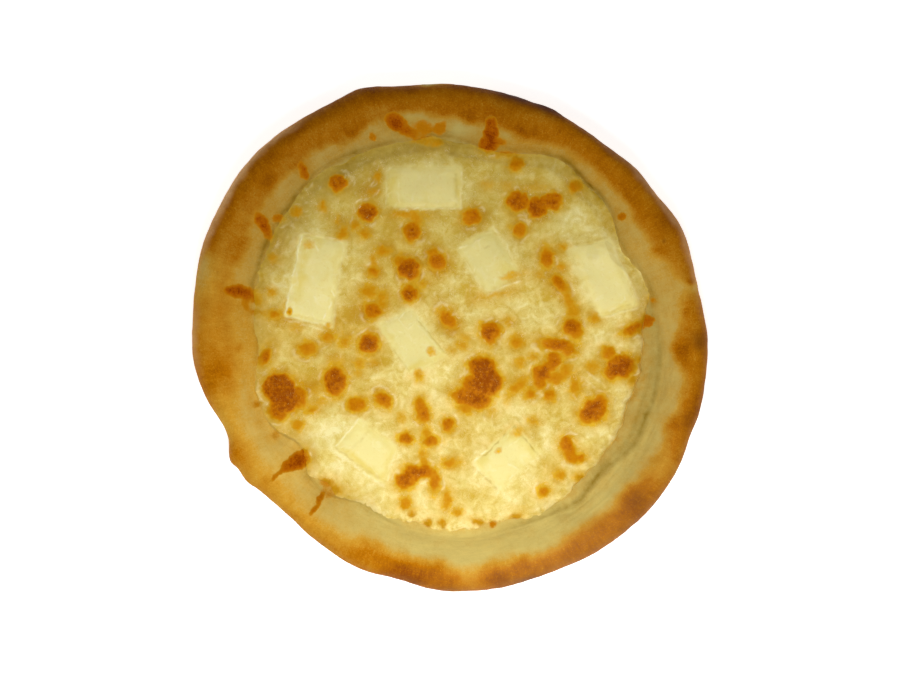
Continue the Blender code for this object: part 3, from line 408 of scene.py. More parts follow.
SLICE_WANDER = ((0.45, 4.5, 21.1), (0.22, 1.8, 23.3))
FACE_WANDER = ((1.3, 6, 22.1), (0.7, 2.4, 24.3))
TONE_WAVES = ((0.18, 2.6, 18.3), (0.12, 1.3, 18.9))
EDGE_SCALLOPS = ((0.8, 8, 8.3), (0.3, 3.1, 9.1))
EDGE_WAVES = ((3, 7, 9.7), (1.4, 3, 10.1))
BROWN_WANDER = ((1.8, 9, 31.3), (1.1, 3.4, 33.7), (0.4, 1.4, 34.9))
BAND_WAVES = ((0.07, 12, 35.1), (0.05, 4, 36.3))
CREASE_WAVES = ((0.35, 3, 49.1), (0.35, 9, 49.9))
CREASE_WANDER = ((0.7, 6, 50.3), (0.4, 2.2, 50.9))
LUMP_WAVES = ((1, 5.2, 55.7), (0.5, 2.7, 57.3))
THIN_WAVES = ((2.6, 4.6, 73.9), (1.2, 1.8, 75.1))
SEAM_WAVES = ((0.7, 3, 77.7), (0.7, 9, 79.9))
SPOT_BEND = (((0.95, 4, 11.3), (0.65, 1.7, 13.1), (0.2, 0.8, 14.3)),
             ((0.95, 4, 17.9), (0.65, 1.7, 19.7), (0.2, 0.8, 15.1)))
LINE_BEND = (((0.6, 4, 25.1), (0.35, 1.5, 26.3)), ((0.6, 4, 27.7), (0.35, 1.5, 28.9)))
LUMP_BEND = (((1.4, 5, 51.1),), ((1.4, 5, 53.3),))
MELT_BEND = (((1.2, 5, 84.7),), ((1.2, 5, 86.1),))

# The curled threads: the seed of their draw, half width, height and length of a step.
THREAD_SEED = 11
THREAD_WIDTH = 0.38
THREAD_HEIGHT = 0.16
THREAD_STEP = (0.7, 1.5)

# Relief, in millimetres.
FOLD_HEIGHT = 0.24
SECOND_CREASE_DEPTH = 0.35
SHRED_HEIGHT = 0.6
BLISTER_HEIGHT = 0.5
BLISTER_GRAIN = 0.14
RING_HEIGHT = 0.1
CRUMB_HEIGHT = 0.5

# ---------------------------------------------------------------------------------------------
# How the meshes are laid out, the light and the stage

# Rings of vertices on the floor of the well and, from outside in, on the underside.
FLOOR_RINGS = (0.0, 40.0, 70.0, 82.0, 86.0, *np.arange(88.0, FOOT_RADIUS, 0.85))
UNDERSIDE_RINGS = (108.0, 98.0, 80.0, 55.0, 28.0, 0.0)
UNDERSIDE_RADIUS = 115.6
# Heights between which the dough's upper side is rounded into the foot of the wall; how far the
# floor rises there, alone and under cheese, and how soon.
UPPER_SIDE_FROM = 5.5
FILLET_TOP = 16.0
FILLET_RISE = 2.3
FILLET_UNDER_CHEESE = 1.5
FILLET_REACH = 4.5
# How far the cheese climbs the wall, and how far it stays back behind its thick lip.
WALL_CLIMB = 1.6
LIP_SETBACK = 2.4
# How far from its edge the cheese begins to thin out, and how roundly.
TAPER = 7.5
TAPER_POWER = 0.7
# How far inside a slice's outline the cheese layer drops into its pocket.
POCKET_SIDE = (0.9, 2.2)
SLICE_SHRINK = 0.3

BLACK = (0.0, 0.0, 0.0)
WHITE = (1.0, 1.0, 1.0)
WARM_SHINE = (1.0, 0.82, 0.45)
LIGHT_COLOUR = (1.0, 0.985, 0.95)
# Area lights, in metres: (name, place, what it points at, size).
LIGHTS = (
    ("key", (0.01, -0.14, 0.33), (0.01, -0.13, 0.0), 0.12),
    ("left", (-0.70, 0.10, 0.42), (0.0, 0.0, 0.0), 0.30),
    ("right", (0.70, 0.15, 0.42), (0.0, 0.0, 0.0), 0.30),
)
# The floor's size in metres, how far below the pizza it lies in millimetres, and its own glow.
FLOOR_SIZE = 6.0
FLOOR_DROP = 0.1
FLOOR_GLOW = 0.72
# Width of the camera's sensor and height of the rim's widest line, in millimetres.
SENSOR_WIDTH = 36.0
WIDEST_LINE = 9.3


def tint(red, green, blue):
    """A colour written as 0 to 255, as the linear values that shaders take."""
    channels = [value / 255.0 for value in (red, green, blue)]
    return tuple(c / 12.92 if c <= 0.04045 else ((c + 0.055) / 1.055) ** 2.4 for c in channels)


# ---------------------------------------------------------------------------------------------
# Settings


def colour(name, description, default):
    return bpy.props.FloatVectorProperty(
        name=name, description=description, default=default, size=3, min=0.0, max=1.0,
        subtype="COLOR")


def length(name, description, default):
    return bpy.props.FloatProperty(
        name=name, description=description, default=default, unit="LENGTH", precision=5)


def count(name, description, default, low, high):
    return bpy.props.IntProperty(
        name=name, description=description, default=default, min=low, max=high)


def factor(name, description, default):
    return bpy.props.FloatProperty(
        name=name, description=description, default=default, min=0.0, max=1.0, subtype="FACTOR")


class PizzaCrustSettings(bpy.types.PropertyGroup):
    """Sizes and colours of the baked dough."""

    steps: count("Steps round", "Faces round the rim", 840, 96, 900)
    rings: count("Rim rings", "Faces over the rim, from its foot to the underside", 78, 20, 80)
    skin_relief: length("Skin relief", "Height of the fine unevenness of the skin", 0.00020)
    pale: colour("Pale dough", "Unbrowned dough of the inner slope", tint(216, 194, 112))
    golden: colour("Golden dough", "Lightly baked dough", tint(212, 158, 50))
    brown: colour("Brown dough", "Well baked dough of the rim", tint(192, 118, 2))
    deep: colour("Deep brown dough", "Brownest dough", tint(146, 74, 0))
    dark: colour("Dark dough", "Darkest dough at the edge", tint(84, 38, 10))
    shred: colour("Shred", "Browned shreds of cheese on the dough", tint(170, 88, 0))
    shred_edge: colour("Shred edge", "Thin edges of the shreds", tint(188, 124, 8))
    shred_pale: colour("Pale shred", "Lightly toasted shreds", tint(198, 144, 46))
    shred_dark: colour("Dark shred", "Darkest part of a shred", tint(134, 58, 0))
    floury: colour("Floury skin", "Dry skin along the outer edge", tint(222, 174, 118))
    # Oil and painted shade along the foot of the wall, in the crease.
    oily_and_shade: colour("Oily dough", "Wet dough along the foot of the wall", tint(130, 100, 8))
    stained: colour("Stained dough", "What is left of the colour round browned cheese",
                    tint(248, 222, 90))
    roughness: factor("Roughness", "Roughness of the dry skin", 0.62)


class PizzaCheeseSettings(bpy.types.PropertyGroup):
    """Sizes and colours of the melted cheese."""

    cells: count("Cells", "Faces across the layer", 304, 60, 306)
    lump: length("Lump relief", "Height of the soft lumps", 0.00020)
    grain: length("Grain relief", "Height of the melted grains", 0.00004)
    cream: colour("Cream", "Palest curds", tint(248, 236, 172))
    butter: colour("Butter", "Most of the melted cheese", tint(229, 208, 121))
    oil: colour("Oil", "Yellow oily hollows", tint(208, 173, 62))
    stained: colour("Stain", "What is left of the colour round browned places", tint(235, 199, 72))
    # Painted shade: the colour laid on cheese further from the light and in the dent, and on duller
    # slices.
    dull_and_shade: colour("Dull cheese", "Cheese further from the light", tint(182, 166, 76))
    soaked: colour("Soaked", "Browned cheese soaked olive with oil", tint(184, 136, 14))
    # Thin cheese where the dough shows through, also the colour of the painted shade along the wall.
    thin_and_shade: colour("Thin cheese", "Cheese so thin that the dough shows through", tint(203, 164, 64))
    face: colour("Face", "Smooth face of a slice", tint(244, 231, 157))
    face_edge: colour("Thin face", "Where a slice has melted thin", tint(236, 215, 120))
    spot: colour("Spot", "Lightly browned spots on a slice", tint(229, 174, 22))
    # Pale melt and painted highlights, for lines, glints and sheen.
    gleam: colour("Gleam", "Pale lines of melt", tint(253, 243, 190))
    # Painted shade: olive lines along the slices' edges and where the cheese meets the wall.
    hollow_shade: colour("Hollow", "Olive lines between melted edges", tint(196, 158, 34))
    roughness: factor("Roughness", "Roughness under the oil", 0.40)


class PizzaToastSettings(bpy.types.PropertyGroup):
    """Colours of the browned cheese."""

    amber: colour("Amber", "Cheese that only yellowed", tint(212, 162, 36))
    golden: colour("Golden toast", "Cheese that began to colour", tint(206, 146, 14))
    light: colour("Light toast", "Just coloured cheese", tint(200, 126, 0))
    middle: colour("Middle toast", "Browned cheese", tint(188, 108, 0))
    dark: colour("Dark toast", "Darkest browned cheese", tint(152, 74, 0))


class PizzaSliceSettings(bpy.types.PropertyGroup):
    """Sizes of the soft-cheese slices."""

    cells: count("Cells", "Faces along each side of a slice", 84, 16, 100)
    shoulder: length("Shoulder", "Width of the rounded edge", 0.0030)


class PizzaStageSettings(bpy.types.PropertyGroup):
    """Camera, light and floor."""

    lens: bpy.props.FloatProperty(
        name="Lens", description="Focal length", default=60.0, unit="CAMERA")
    frame_width: length("Frame width", "Width of the picture at the rim's widest line", 0.4378)
    key: bpy.props.FloatProperty(
        name="Key", description="Power of the key light", default=0.96, unit="POWER")
    side: bpy.props.FloatProperty(
        name="Side", description="Power of each side light", default=0.9, unit="POWER")
    fill: factor("Fill", "Strength of the light all round", 0.20)
    floor: colour("Floor", "Colour of the floor", (0.90, 0.90, 0.90))


# ---------------------------------------------------------------------------------------------
# Shape rules, on arrays of millimetres and degrees


def turned(angle, centre):
    """How far round each angle lies from a centre, from -180 to 180."""
    return (angle - centre + 180.0) % 360.0 - 180.0


def swell(angle, swells):
    """The sum of smooth swells at angles in degrees, each (centre, half width, height)."""
    total = np.zeros_like(angle)
    for centre, half_width, height in swells:
        total += height * np.exp(-((turned(angle, centre) / half_width) ** 2))
    return total


def smooth(low, high, value):
    """Rises smoothly from 0 at low to 1 at high."""
    share = np.clip((value - low) / (high - low), 0.0, 1.0)
    return share * share * (3.0 - 2.0 * share)


def wave(x, y, spacing, seed):
    """Smooth unevenness between about -1 and 1, the same as in the solids."""
    return np.array([noise.noise((a, b, seed)) for a, b in zip(x / spacing, y / spacing)])


def waves(x, y, parts):
    """The sum of several waves, each (height, spacing, seed)."""
    return sum(height * wave(x, y, spacing, seed) for height, spacing, seed in parts)


def bent(x, y, bend):
    """Places moved a little by waves, so that what is drawn there turns out uneven."""
    return x + waves(x, y, bend[0]), y + waves(x, y, bend[1])


def along_and_across(dx, dy, turn):
    """A step split along and across an axis that is turned by this many degrees."""
    cosine, sine = math.cos(math.radians(turn)), math.sin(math.radians(turn))
    return dx * cosine + dy * sine, dy * cosine - dx * sine


def grain(points, spacing, seed):
    """Unevenness through space, for surfaces that also stand upright."""
    return np.array([noise.noise(point) for point in (points / spacing + seed).tolist()])


def pebbles(x, y, spacing, seed):
    """Rounded cells, 1 at each cell's middle and 0 between cells."""
    reach = [noise.voronoi((a, b, seed))[0][0] for a, b in zip(x / spacing, y / spacing)]
    return 1.0 - np.clip(np.array(reach) * 1.35, 0.0, 1.0) ** 2


def polar(x, y):
    return np.hypot(x, y), np.degrees(np.arctan2(y, x))


def outer_radius(angle):
    oval = OVAL_SWELL * np.cos(np.radians(2.0 * (angle - OVAL_TURN)))
    return OUTLINE_RADIUS + oval + swell(angle, OUTLINE_SWELLS)


def foot_radius(angle):
    return FOOT_RADIUS + swell(angle, FOOT_SWELLS)


def wall_share(share, angle):
    """Moves the points of the inner wall in or out, for a steeper or slacker wall."""
    power = 1.0 + swell(angle, WALL_SWELLS)
    inner = CREST_SHARE * (np.clip(share, 0.0, CREST_SHARE) / CREST_SHARE) ** power
    return np.where((share > 0.0) & (share < CREST_SHARE), inner, share)


def rim_height(height, x, y, angle):
    """A height of the section, carried to this place on the rim."""
    full = RIM_CREST - FLOOR_HEIGHT
    lift = (full + swell(angle, CREST_SWELLS)) / full
    rise = (height - FLOOR_HEIGHT) / full
    unevenness = DOUGH_WAVE_HEIGHT * wave(x, y, DOUGH_WAVE, 1.3) * np.minimum(1.0, 2.0 * rise)
    raised = FLOOR_HEIGHT + (height - FLOOR_HEIGHT) * lift + unevenness
    return np.where(height > FLOOR_HEIGHT, raised, height)


def rim_curve(points_wanted):
    """The rim's section as a smooth curve through its named points, evenly spaced."""
    width = OUTLINE_RADIUS - FOOT_RADIUS
    knots = np.array([(share * width, height) for share, height in RIM_SECTION])
    ends = np.vstack([2 * knots[0] - knots[1], knots, 2 * knots[-1] - knots[-2]])
    dense = []
    for at in range(1, len(ends) - 2):
        before, start, stop, after = ends[at - 1:at + 3]
        for t in np.linspace(0.0, 1.0, 24, endpoint=False):
            dense.append(0.5 * (2 * start + (stop - before) * t
                                + (2 * before - 5 * start + 4 * stop - after) * t ** 2
                                + (3 * start - before - 3 * stop + after) * t ** 3))
    dense = np.array(dense + [knots[-1]])
    travelled = np.concatenate([[0.0], np.cumsum(np.linalg.norm(np.diff(dense, axis=0), axis=1))])
    wanted = np.linspace(0.0, travelled[-1], points_wanted)
    offsets = np.interp(wanted, travelled, dense[:, 0])
    heights = np.interp(wanted, travelled, dense[:, 1])
    return offsets / width, heights


def side_distances(x, y, corners):
    """How far inside each side of a slice a place lies."""
    points = np.array(corners)
    for start, stop in zip(points, np.roll(points, -1, axis=0)):
        along = (stop - start) / np.linalg.norm(stop - start)
        yield (y - start[1]) * along[0] - (x - start[0]) * along[1]


def inside_slice(x, y, corners):
    """How far inside a slice's rounded, uneven outline a place lies; negative outside."""
    total = sum(np.exp(-np.clip(distance, -60.0, 60.0) / CORNER_SOFTNESS)
                for distance in side_distances(x, y, corners))
    return -CORNER_SOFTNESS * np.log(total) - SLICE_SHRINK + waves(x, y, SLICE_WANDER)


def slice_share(x, y):
    """1 on the face of a slice, fading to 0 over its melted sides."""
    wander = waves(x, y, FACE_WANDER)
    total = np.zeros_like(x)
    for corners, melt in zip(SLICE_CORNERS, SLICE_MELT):
        share = 1.0
        for distance, soft in zip(side_distances(x, y, corners), melt):
            place = distance + wander * min(soft, 1.5)
            share = share * smooth(-1.1 * soft - 0.2, 1.3 * soft + 0.2, place)
        total = np.maximum(total, share)
    return total


def slice_dullness(x, y):
    """How dull the slice is on which a place lies."""
    return sum(dullness * smooth(-1.5, 1.5, inside_slice(x, y, corners))
               for corners, dullness in zip(SLICE_CORNERS, SLICE_DULLNESS))


def thin_faces(x, y):
    """1 where a slice has melted thin and yellow."""
    total = np.zeros_like(x)
    for cx, cy, long_half, short_half, turn, strength in THIN_FACES:
        along, across = along_and_across(x - cx, y - cy, turn)
        total += strength * np.exp(-((along / long_half) ** 4) - (across / short_half) ** 2)
    return np.minimum(total, 1.0)


def round_table(angle, table):
    """A named value by angle, passed smoothly from one entry to the next."""
    angles = np.array([entry[0] for entry in table], dtype=float)
    values = np.array([entry[1] for entry in table])
    spread = [np.interp(angle + shift, angles, values, period=360.0) for shift in (-2, 0, 2)]
    return sum(spread) / 3.0


def patches(radius, angle, table):
    """The sum of soft patches, each (angle, radius, half angle, half width, strength)."""
    total = np.zeros_like(angle)
    for centre, middle, half_angle, half_width, strength in table:
        away = turned(angle, centre) / half_angle
        off = (radius - middle) / half_width
        total += strength * np.exp(-(away ** 2) - off ** 2)
    return total


def browned(x, y):
    """The browned cheese: its tone, the height of its blisters, the yellow stain round them and
    the pale ring of melt along their edges, partly a painted highlight."""
    bent_x, bent_y = bent(x, y, SPOT_BEND)
    tone, dome, stain, ring = np.zeros((4, len(x)))
    for cx, cy, long_half, short_half, turn, strength in BROWNED:
        near = np.hypot(x - cx, y - cy) < long_half + 4.0 * STAIN_REACH
        along, across = along_and_across((bent_x - cx)[near], (bent_y - cy)[near], turn)
        inside = 1.0 - np.hypot(along / long_half, across / short_half)
        inside *= min(long_half, short_half)
        rise = 0.78 * smooth(-1.2, 1.2, inside) + 0.22 * smooth(0.0, 3.6, inside)
        tone[near] += (strength * rise) ** SPOT_BLEND
        dome[near] += (strength * smooth(-1.2, 2.6, inside)) ** SPOT_BLEND
        halo = strength ** 0.5 * np.exp(np.minimum(inside + 0.4, 0.0) / STAIN_REACH)
        stain[near] = np.maximum(stain[near], halo)
        if strength > RINGED_FROM:
            ring[near] = np.maximum(ring[near], np.exp(-(((inside + 2.0) / 0.55) ** 2)))
    tone = np.minimum(tone ** (1.0 / SPOT_BLEND), DARKEST_TONE) * (1.0 + waves(x, y, TONE_WAVES))
    ring *= smooth(0.25, 0.05, tone) * smooth(0.05, 0.45, wave(x, y, 5.5, 16.7))
    return tone, dome ** (1.0 / SPOT_BLEND), stain, ring


def thread_lines():
    """The curled threads as short straight steps, in the form of LINES."""
    rng = np.random.default_rng(THREAD_SEED)
    for x, y, spread, how_many in THREADS:
        for _ in range(how_many):
            start_x, start_y = rng.normal((x, y), spread)
            heading = rng.uniform(0.0, 2.0 * math.pi)
            curl = rng.normal(0.0, 0.6)
            pale = rng.uniform(0.15, 0.55)
            for _ in range(rng.integers(1, 4)):
                step = rng.uniform(*THREAD_STEP)
                stop_x = start_x + step * math.cos(heading)
                stop_y = start_y + step * math.sin(heading)
                yield start_x, start_y, stop_x, stop_y, THREAD_WIDTH, THREAD_HEIGHT * pale, pale
                start_x, start_y = stop_x, stop_y
                heading += curl + rng.normal(0.0, 0.25)


def thin_lines(x, y):
    """Thin lines of melted cheese: their relief, and how pale or olive they are, partly as painted
    highlights and painted shade.
    """
    relief, shade = np.zeros((2, len(x)))
    bent_x, bent_y = bent(x, y, LINE_BEND)
    broken = np.clip(0.70 + 1.1 * wave(x, y, 2.6, 29.9), 0.15, 1.1)
    for x0, y0, x1, y1, width, height, pale in (*LINES, *thread_lines()):
        run = math.hypot(x1 - x0, y1 - y0)
        near = np.hypot(x - (x0 + x1) / 2, y - (y0 + y1) / 2) < run / 2 + 3.0
        off_x, off_y = bent_x[near] - x0, bent_y[near] - y0
        along = (off_x * (x1 - x0) + off_y * (y1 - y0)) / run
        across = (off_y * (x1 - x0) - off_x * (y1 - y0)) / run
        ends = smooth(-0.8, 0.8, along) * smooth(-0.8, 0.8, run - along)
        share = ends * np.exp(-((across / width) ** 2)) * broken[near]
        relief[near] += height * share
        shade[near] += 0.85 * pale * share
    return relief, np.clip(shade, *LINE_SHADE)


def edge_radius(angle):
    """Where the melted cheese ends, uneven and crumbly."""
    reach = foot_radius(angle) - swell(angle, CHEESE_INSETS) + 0.5
    turn = np.radians(angle)
    x, y = reach * np.cos(turn), reach * np.sin(turn)
    clumps = 1.7 * wave(x, y, 5.0, 4.7) + 1.3 * (pebbles(x, y, 4.6, 6.1) - 0.5)
    wavy = swell(angle, WAVY_EDGE) * waves(x, y, EDGE_WAVES)
    edge = reach + waves(x, y, EDGE_SCALLOPS) + wavy + swell(angle, RAGGED_EDGE) * clumps
    return edge + WALL_CLIMB * against_wall(angle) - LIP_SETBACK * swell(angle, LIP)


def against_wall(angle):
    """1 where the cheese reaches up against the rim, 0 where bare dough shows between them."""
    return smooth(3.2, 0.8, swell(angle, CHEESE_INSETS))


def foot_fillet(radius, angle):
    """The dough's height where the floor curves up to the wall."""
    before = np.maximum(foot_radius(angle) - radius, -1.2)
    rise = FILLET_RISE + FILLET_UNDER_CHEESE * against_wall(angle)
    return FLOOR_HEIGHT + rise * np.exp(-before / FILLET_REACH)


def cheese_body(x, y, near):
    """The smooth upper side of the cheese, which thins out at its edge and swells towards the
    slices, and the way left to its edge."""
    radius, angle = polar(x, y)
    inward = edge_radius(angle) - radius
    body = CHEESE_TOP + CHEESE_WAVE_HEIGHT * wave(x, y, CHEESE_WAVE, 2.1)
    body += SLICE_MOUND * smooth(-9.0, 0.0, near)
    thinned = foot_fillet(radius, angle) + 0.25
    share = np.clip(inward / TAPER, 0.0, 1.0) ** TAPER_POWER
    return thinned + (body - thinned) * share, inward


# ---------------------------------------------------------------------------------------------
# Mesh helpers


def only(obj):
    """Deselects everything else and makes this object the active one."""
    bpy.ops.object.select_all(action="DESELECT")
    obj.select_set(True)
    bpy.context.view_layer.objects.active = obj


def grid(name, across, up):
    """A flat square of faces from -1 to 1, to be moved into shape."""
    bpy.ops.object.select_all(action="DESELECT")
    bpy.ops.mesh.primitive_grid_add(x_subdivisions=across, y_subdivisions=up, size=2.0)
    obj = bpy.context.object
    obj.name = name
    obj.data.name = name
    return obj


def read_points(obj):
    """The vertices of an object, as an array."""
    points = np.empty(len(obj.data.vertices) * 3)
    obj.data.vertices.foreach_get("co", points)
    return points.reshape(-1, 3)


def write_points(obj, points):
    obj.data.vertices.foreach_set("co", points.ravel())
    obj.data.update()


def read_normals(obj):
    normals = np.empty(len(obj.data.vertices) * 3)
    obj.data.vertex_normals.foreach_get("vector", normals)
    return normals.reshape(-1, 3)


def round_grid(points):
    """Turns a square of points from -1 to 1 into a disc of equal cells."""
    a, b = points[:, 0], points[:, 1]
    wide = np.abs(a) > np.abs(b)
    safe_a = np.where(a == 0.0, 1.0, a)
    safe_b = np.where(b == 0.0, 1.0, b)
    radius = np.where(wide, a, b)
    turn = np.where(wide, math.pi / 4 * b / safe_a, math.pi / 2 - math.pi / 4 * a / safe_b)
    return radius * np.cos(turn), radius * np.sin(turn)


def select_border():
    """Selects the open border of the mesh that is being edited."""
    bpy.ops.mesh.select_all(action="DESELECT")
    bpy.ops.mesh.select_non_manifold(extend=False, use_wire=False, use_multi_face=False,
                                     use_non_contiguous=False, use_verts=False)


def close_below(obj, rings):
    """Extrudes the open border once for each (inset, height) in millimetres, then closes it."""
    only(obj)
    for inset, height in rings:
        before = len(obj.data.vertices)
        bpy.ops.object.mode_set(mode="EDIT")
        bpy.ops.mesh.select_mode(type="VERT")
        select_border()
        bpy.ops.mesh.mark_sharp()
        bpy.ops.mesh.extrude_region_move()
        bpy.ops.object.mode_set(mode="OBJECT")
        points = read_points(obj)
        ring = points[before:]
        outwards = ring[:, :2] - ring[:, :2].mean(axis=0)
        reach = np.linalg.norm(outwards, axis=1, keepdims=True)
        ring[:, :2] -= outwards / reach * inset * MM
        ring[:, 2] = height * MM
        write_points(obj, points)
    bpy.ops.object.mode_set(mode="EDIT")
    select_border()
    bpy.ops.mesh.edge_face_add()
    bpy.ops.mesh.select_all(action="SELECT")
    bpy.ops.mesh.normals_make_consistent(inside=False)
    bpy.ops.object.mode_set(mode="OBJECT")


def merge_seams(obj):
    """Joins the vertices that meet at a seam or a pole, and turns the faces outwards."""
    only(obj)
    bpy.ops.object.mode_set(mode="EDIT")
    bpy.ops.mesh.select_all(action="SELECT")
    bpy.ops.mesh.remove_doubles(threshold=MERGE_DISTANCE)
    bpy.ops.mesh.normals_make_consistent(inside=False)
    bpy.ops.object.mode_set(mode="OBJECT")


def finish_piece(obj, material, slot, *nodes):
    """Shades a piece smooth, gives it its material, hangs it under the root and hides the solids that it
    stands in for.
    """
    only(obj)
    bpy.ops.object.shade_smooth()
    obj.data.materials.clear()
    obj.data.materials.append(material)
    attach(obj, "root")
    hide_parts(*nodes)


# ---------------------------------------------------------------------------------------------
# Shader helpers


class Value:
    """A shader value. Operators on it add Math nodes."""

    def __init__(self, net, socket):
        self.net = net
        self.socket = socket

    def math(self, operation, *others, clamp=False):
        settings = {"operation": operation, "use_clamp": clamp}
        return self.net.node("ShaderNodeMath", settings, dict(enumerate([self, *others])))

    def __add__(self, other):
        return self.math("ADD", other)

    def __sub__(self, other):
        return self.math("SUBTRACT", other)

    def __rsub__(self, other):
        return self.net.node("ShaderNodeMath", {"operation": "SUBTRACT"}, {0: other, 1: self})

    def __mul__(self, other):
        return self.math("MULTIPLY", other)

    def __pow__(self, other):
        return self.math("POWER", other)

    __radd__ = __add__
    __rmul__ = __mul__

    def clamped(self):
        return self.math("ADD", 0.0, clamp=True)


class Net:
    """A material's node tree, with a short way to add each kind of node."""

    def __init__(self, name):
        self.material = bpy.data.materials.new(name)
        self.material.use_nodes = True
        self.tree = self.material.node_tree
        self.shader = self.tree.nodes["Principled BSDF"]
        self.place = self.node("ShaderNodeTexCoord", output="Object")

    def feed(self, socket, value):
        if isinstance(value, Value):
            self.tree.links.new(value.socket, socket)
        elif socket.type == "RGBA":
            socket.default_value = (*value[:3], 1.0)
        else:
            socket.default_value = value

    def node(self, kind, settings=None, inputs=None, output=0):
        """Adds a node: its settings first, then the values of its sockets."""
        node = self.tree.nodes.new(kind)
        for name, value in (settings or {}).items():
            setattr(node, name, value)
        for key, value in (inputs or {}).items():
            self.feed(node.inputs[key], value)
        return Value(self, node.outputs[output])

    def vector(self, operation, inputs, output=0):
        return self.node("ShaderNodeVectorMath", {"operation": operation}, inputs, output)

    def attribute(self, name):
        return self.node("ShaderNodeAttribute", {"attribute_name": name}, output="Fac")

    def round_the_rim(self, around, outwards):
        """Places whose patterns run on without a seam round the rim; a share below 1 draws the
        pattern out round the rim or outwards from the middle."""
        flat = self.vector("MULTIPLY", {0: self.place, 1: (1.0, 1.0, 0.0)})
        heading = self.vector("NORMALIZE", {0: flat})
        ring = self.vector("SCALE", {0: heading, "Scale": around * OUTLINE_RADIUS * MM})
        reach = self.vector("LENGTH", {0: flat}, "Value")
        above = self.node("ShaderNodeCombineXYZ", None, {"Z": reach * outwards})
        return self.vector("ADD", {0: ring, 1: above})

    def noise(self, spacing, detail=2.0, roughness=0.5, distortion=0.0, place=None):
        """Noise whose bumps are about this many millimetres apart."""
        inputs = {"Vector": place or self.place, "Scale": 1.0 / (spacing * MM), "Detail": detail,
                  "Roughness": roughness, "Distortion": distortion}
        return self.node("ShaderNodeTexNoise", {"noise_dimensions": "3D"}, inputs, output="Fac")

    def veins(self, spacing, distortion, thinness):
        """Thin winding lines about this many millimetres apart."""
        swing = self.noise(spacing, 3.0, 0.6, distortion) * 2.0 - 1.0
        return (1.0 - swing.math("ABSOLUTE")) ** thinness

    def ramp(self, value, *stops):
        ramped = self.node("ShaderNodeValToRGB", None, {"Fac": value}, output="Color")
        elements = ramped.socket.node.color_ramp.elements
        while len(elements) < len(stops):
            elements.new(1.0)
        for element, (position, shade) in zip(elements, stops):
            element.position = position
            element.color = (*shade, 1.0)
        return ramped

    def step(self, value, low, high):
        """Rises evenly from 0 at low to 1 at high."""
        return self.ramp(value, (low, BLACK), (high, WHITE))

    def mix(self, share, first, second, blend="MIX"):
        """Two colours mixed; the share is held between 0 and 1."""
        colours = {0: share, 6: first, 7: second}
        return self.node("ShaderNodeMix", {"data_type": "RGBA", "blend_type": blend}, colours, 2)

    def layers(self, colour, *above):
        """Lays colours over one another, each (share, colour)."""
        for share, upper in above:
            colour = self.mix(share, colour, upper)
        return colour

    def shaded(self, shade, value):
        """A colour made lighter or darker."""
        return self.node("ShaderNodeHueSaturation", None, {"Color": shade, "Value": value})

    def bump(self, height, distance, strength):
        inputs = {"Height": height, "Distance": distance * MM, "Strength": strength}
        return self.node("ShaderNodeBump", None, inputs, output="Normal")

    def finish(self, **sockets):
        """Sets the shader's sockets, named with underscores for spaces."""
        for name, value in sockets.items():
            self.feed(self.shader.inputs[name.replace("_", " ")], value)
        return self.material


# ---------------------------------------------------------------------------------------------
# Materials


def toasted(net, plain, settings, crumbly):
    """Lays the tones of browned cheese over a plain colour."""
    toast = net.attribute("toast")
    tones = net.ramp(toast + (crumbly - 0.5) * 0.8 * toast, (0.14, settings.amber),
                     (0.36, settings.golden), (0.56, settings.light), (0.78, settings.middle),
                     (1.0, settings.dark))
    cover = net.step(toast + (crumbly - 0.5) * 0.30, 0.02, 0.36)
    return net.mix(cover, plain, tones)


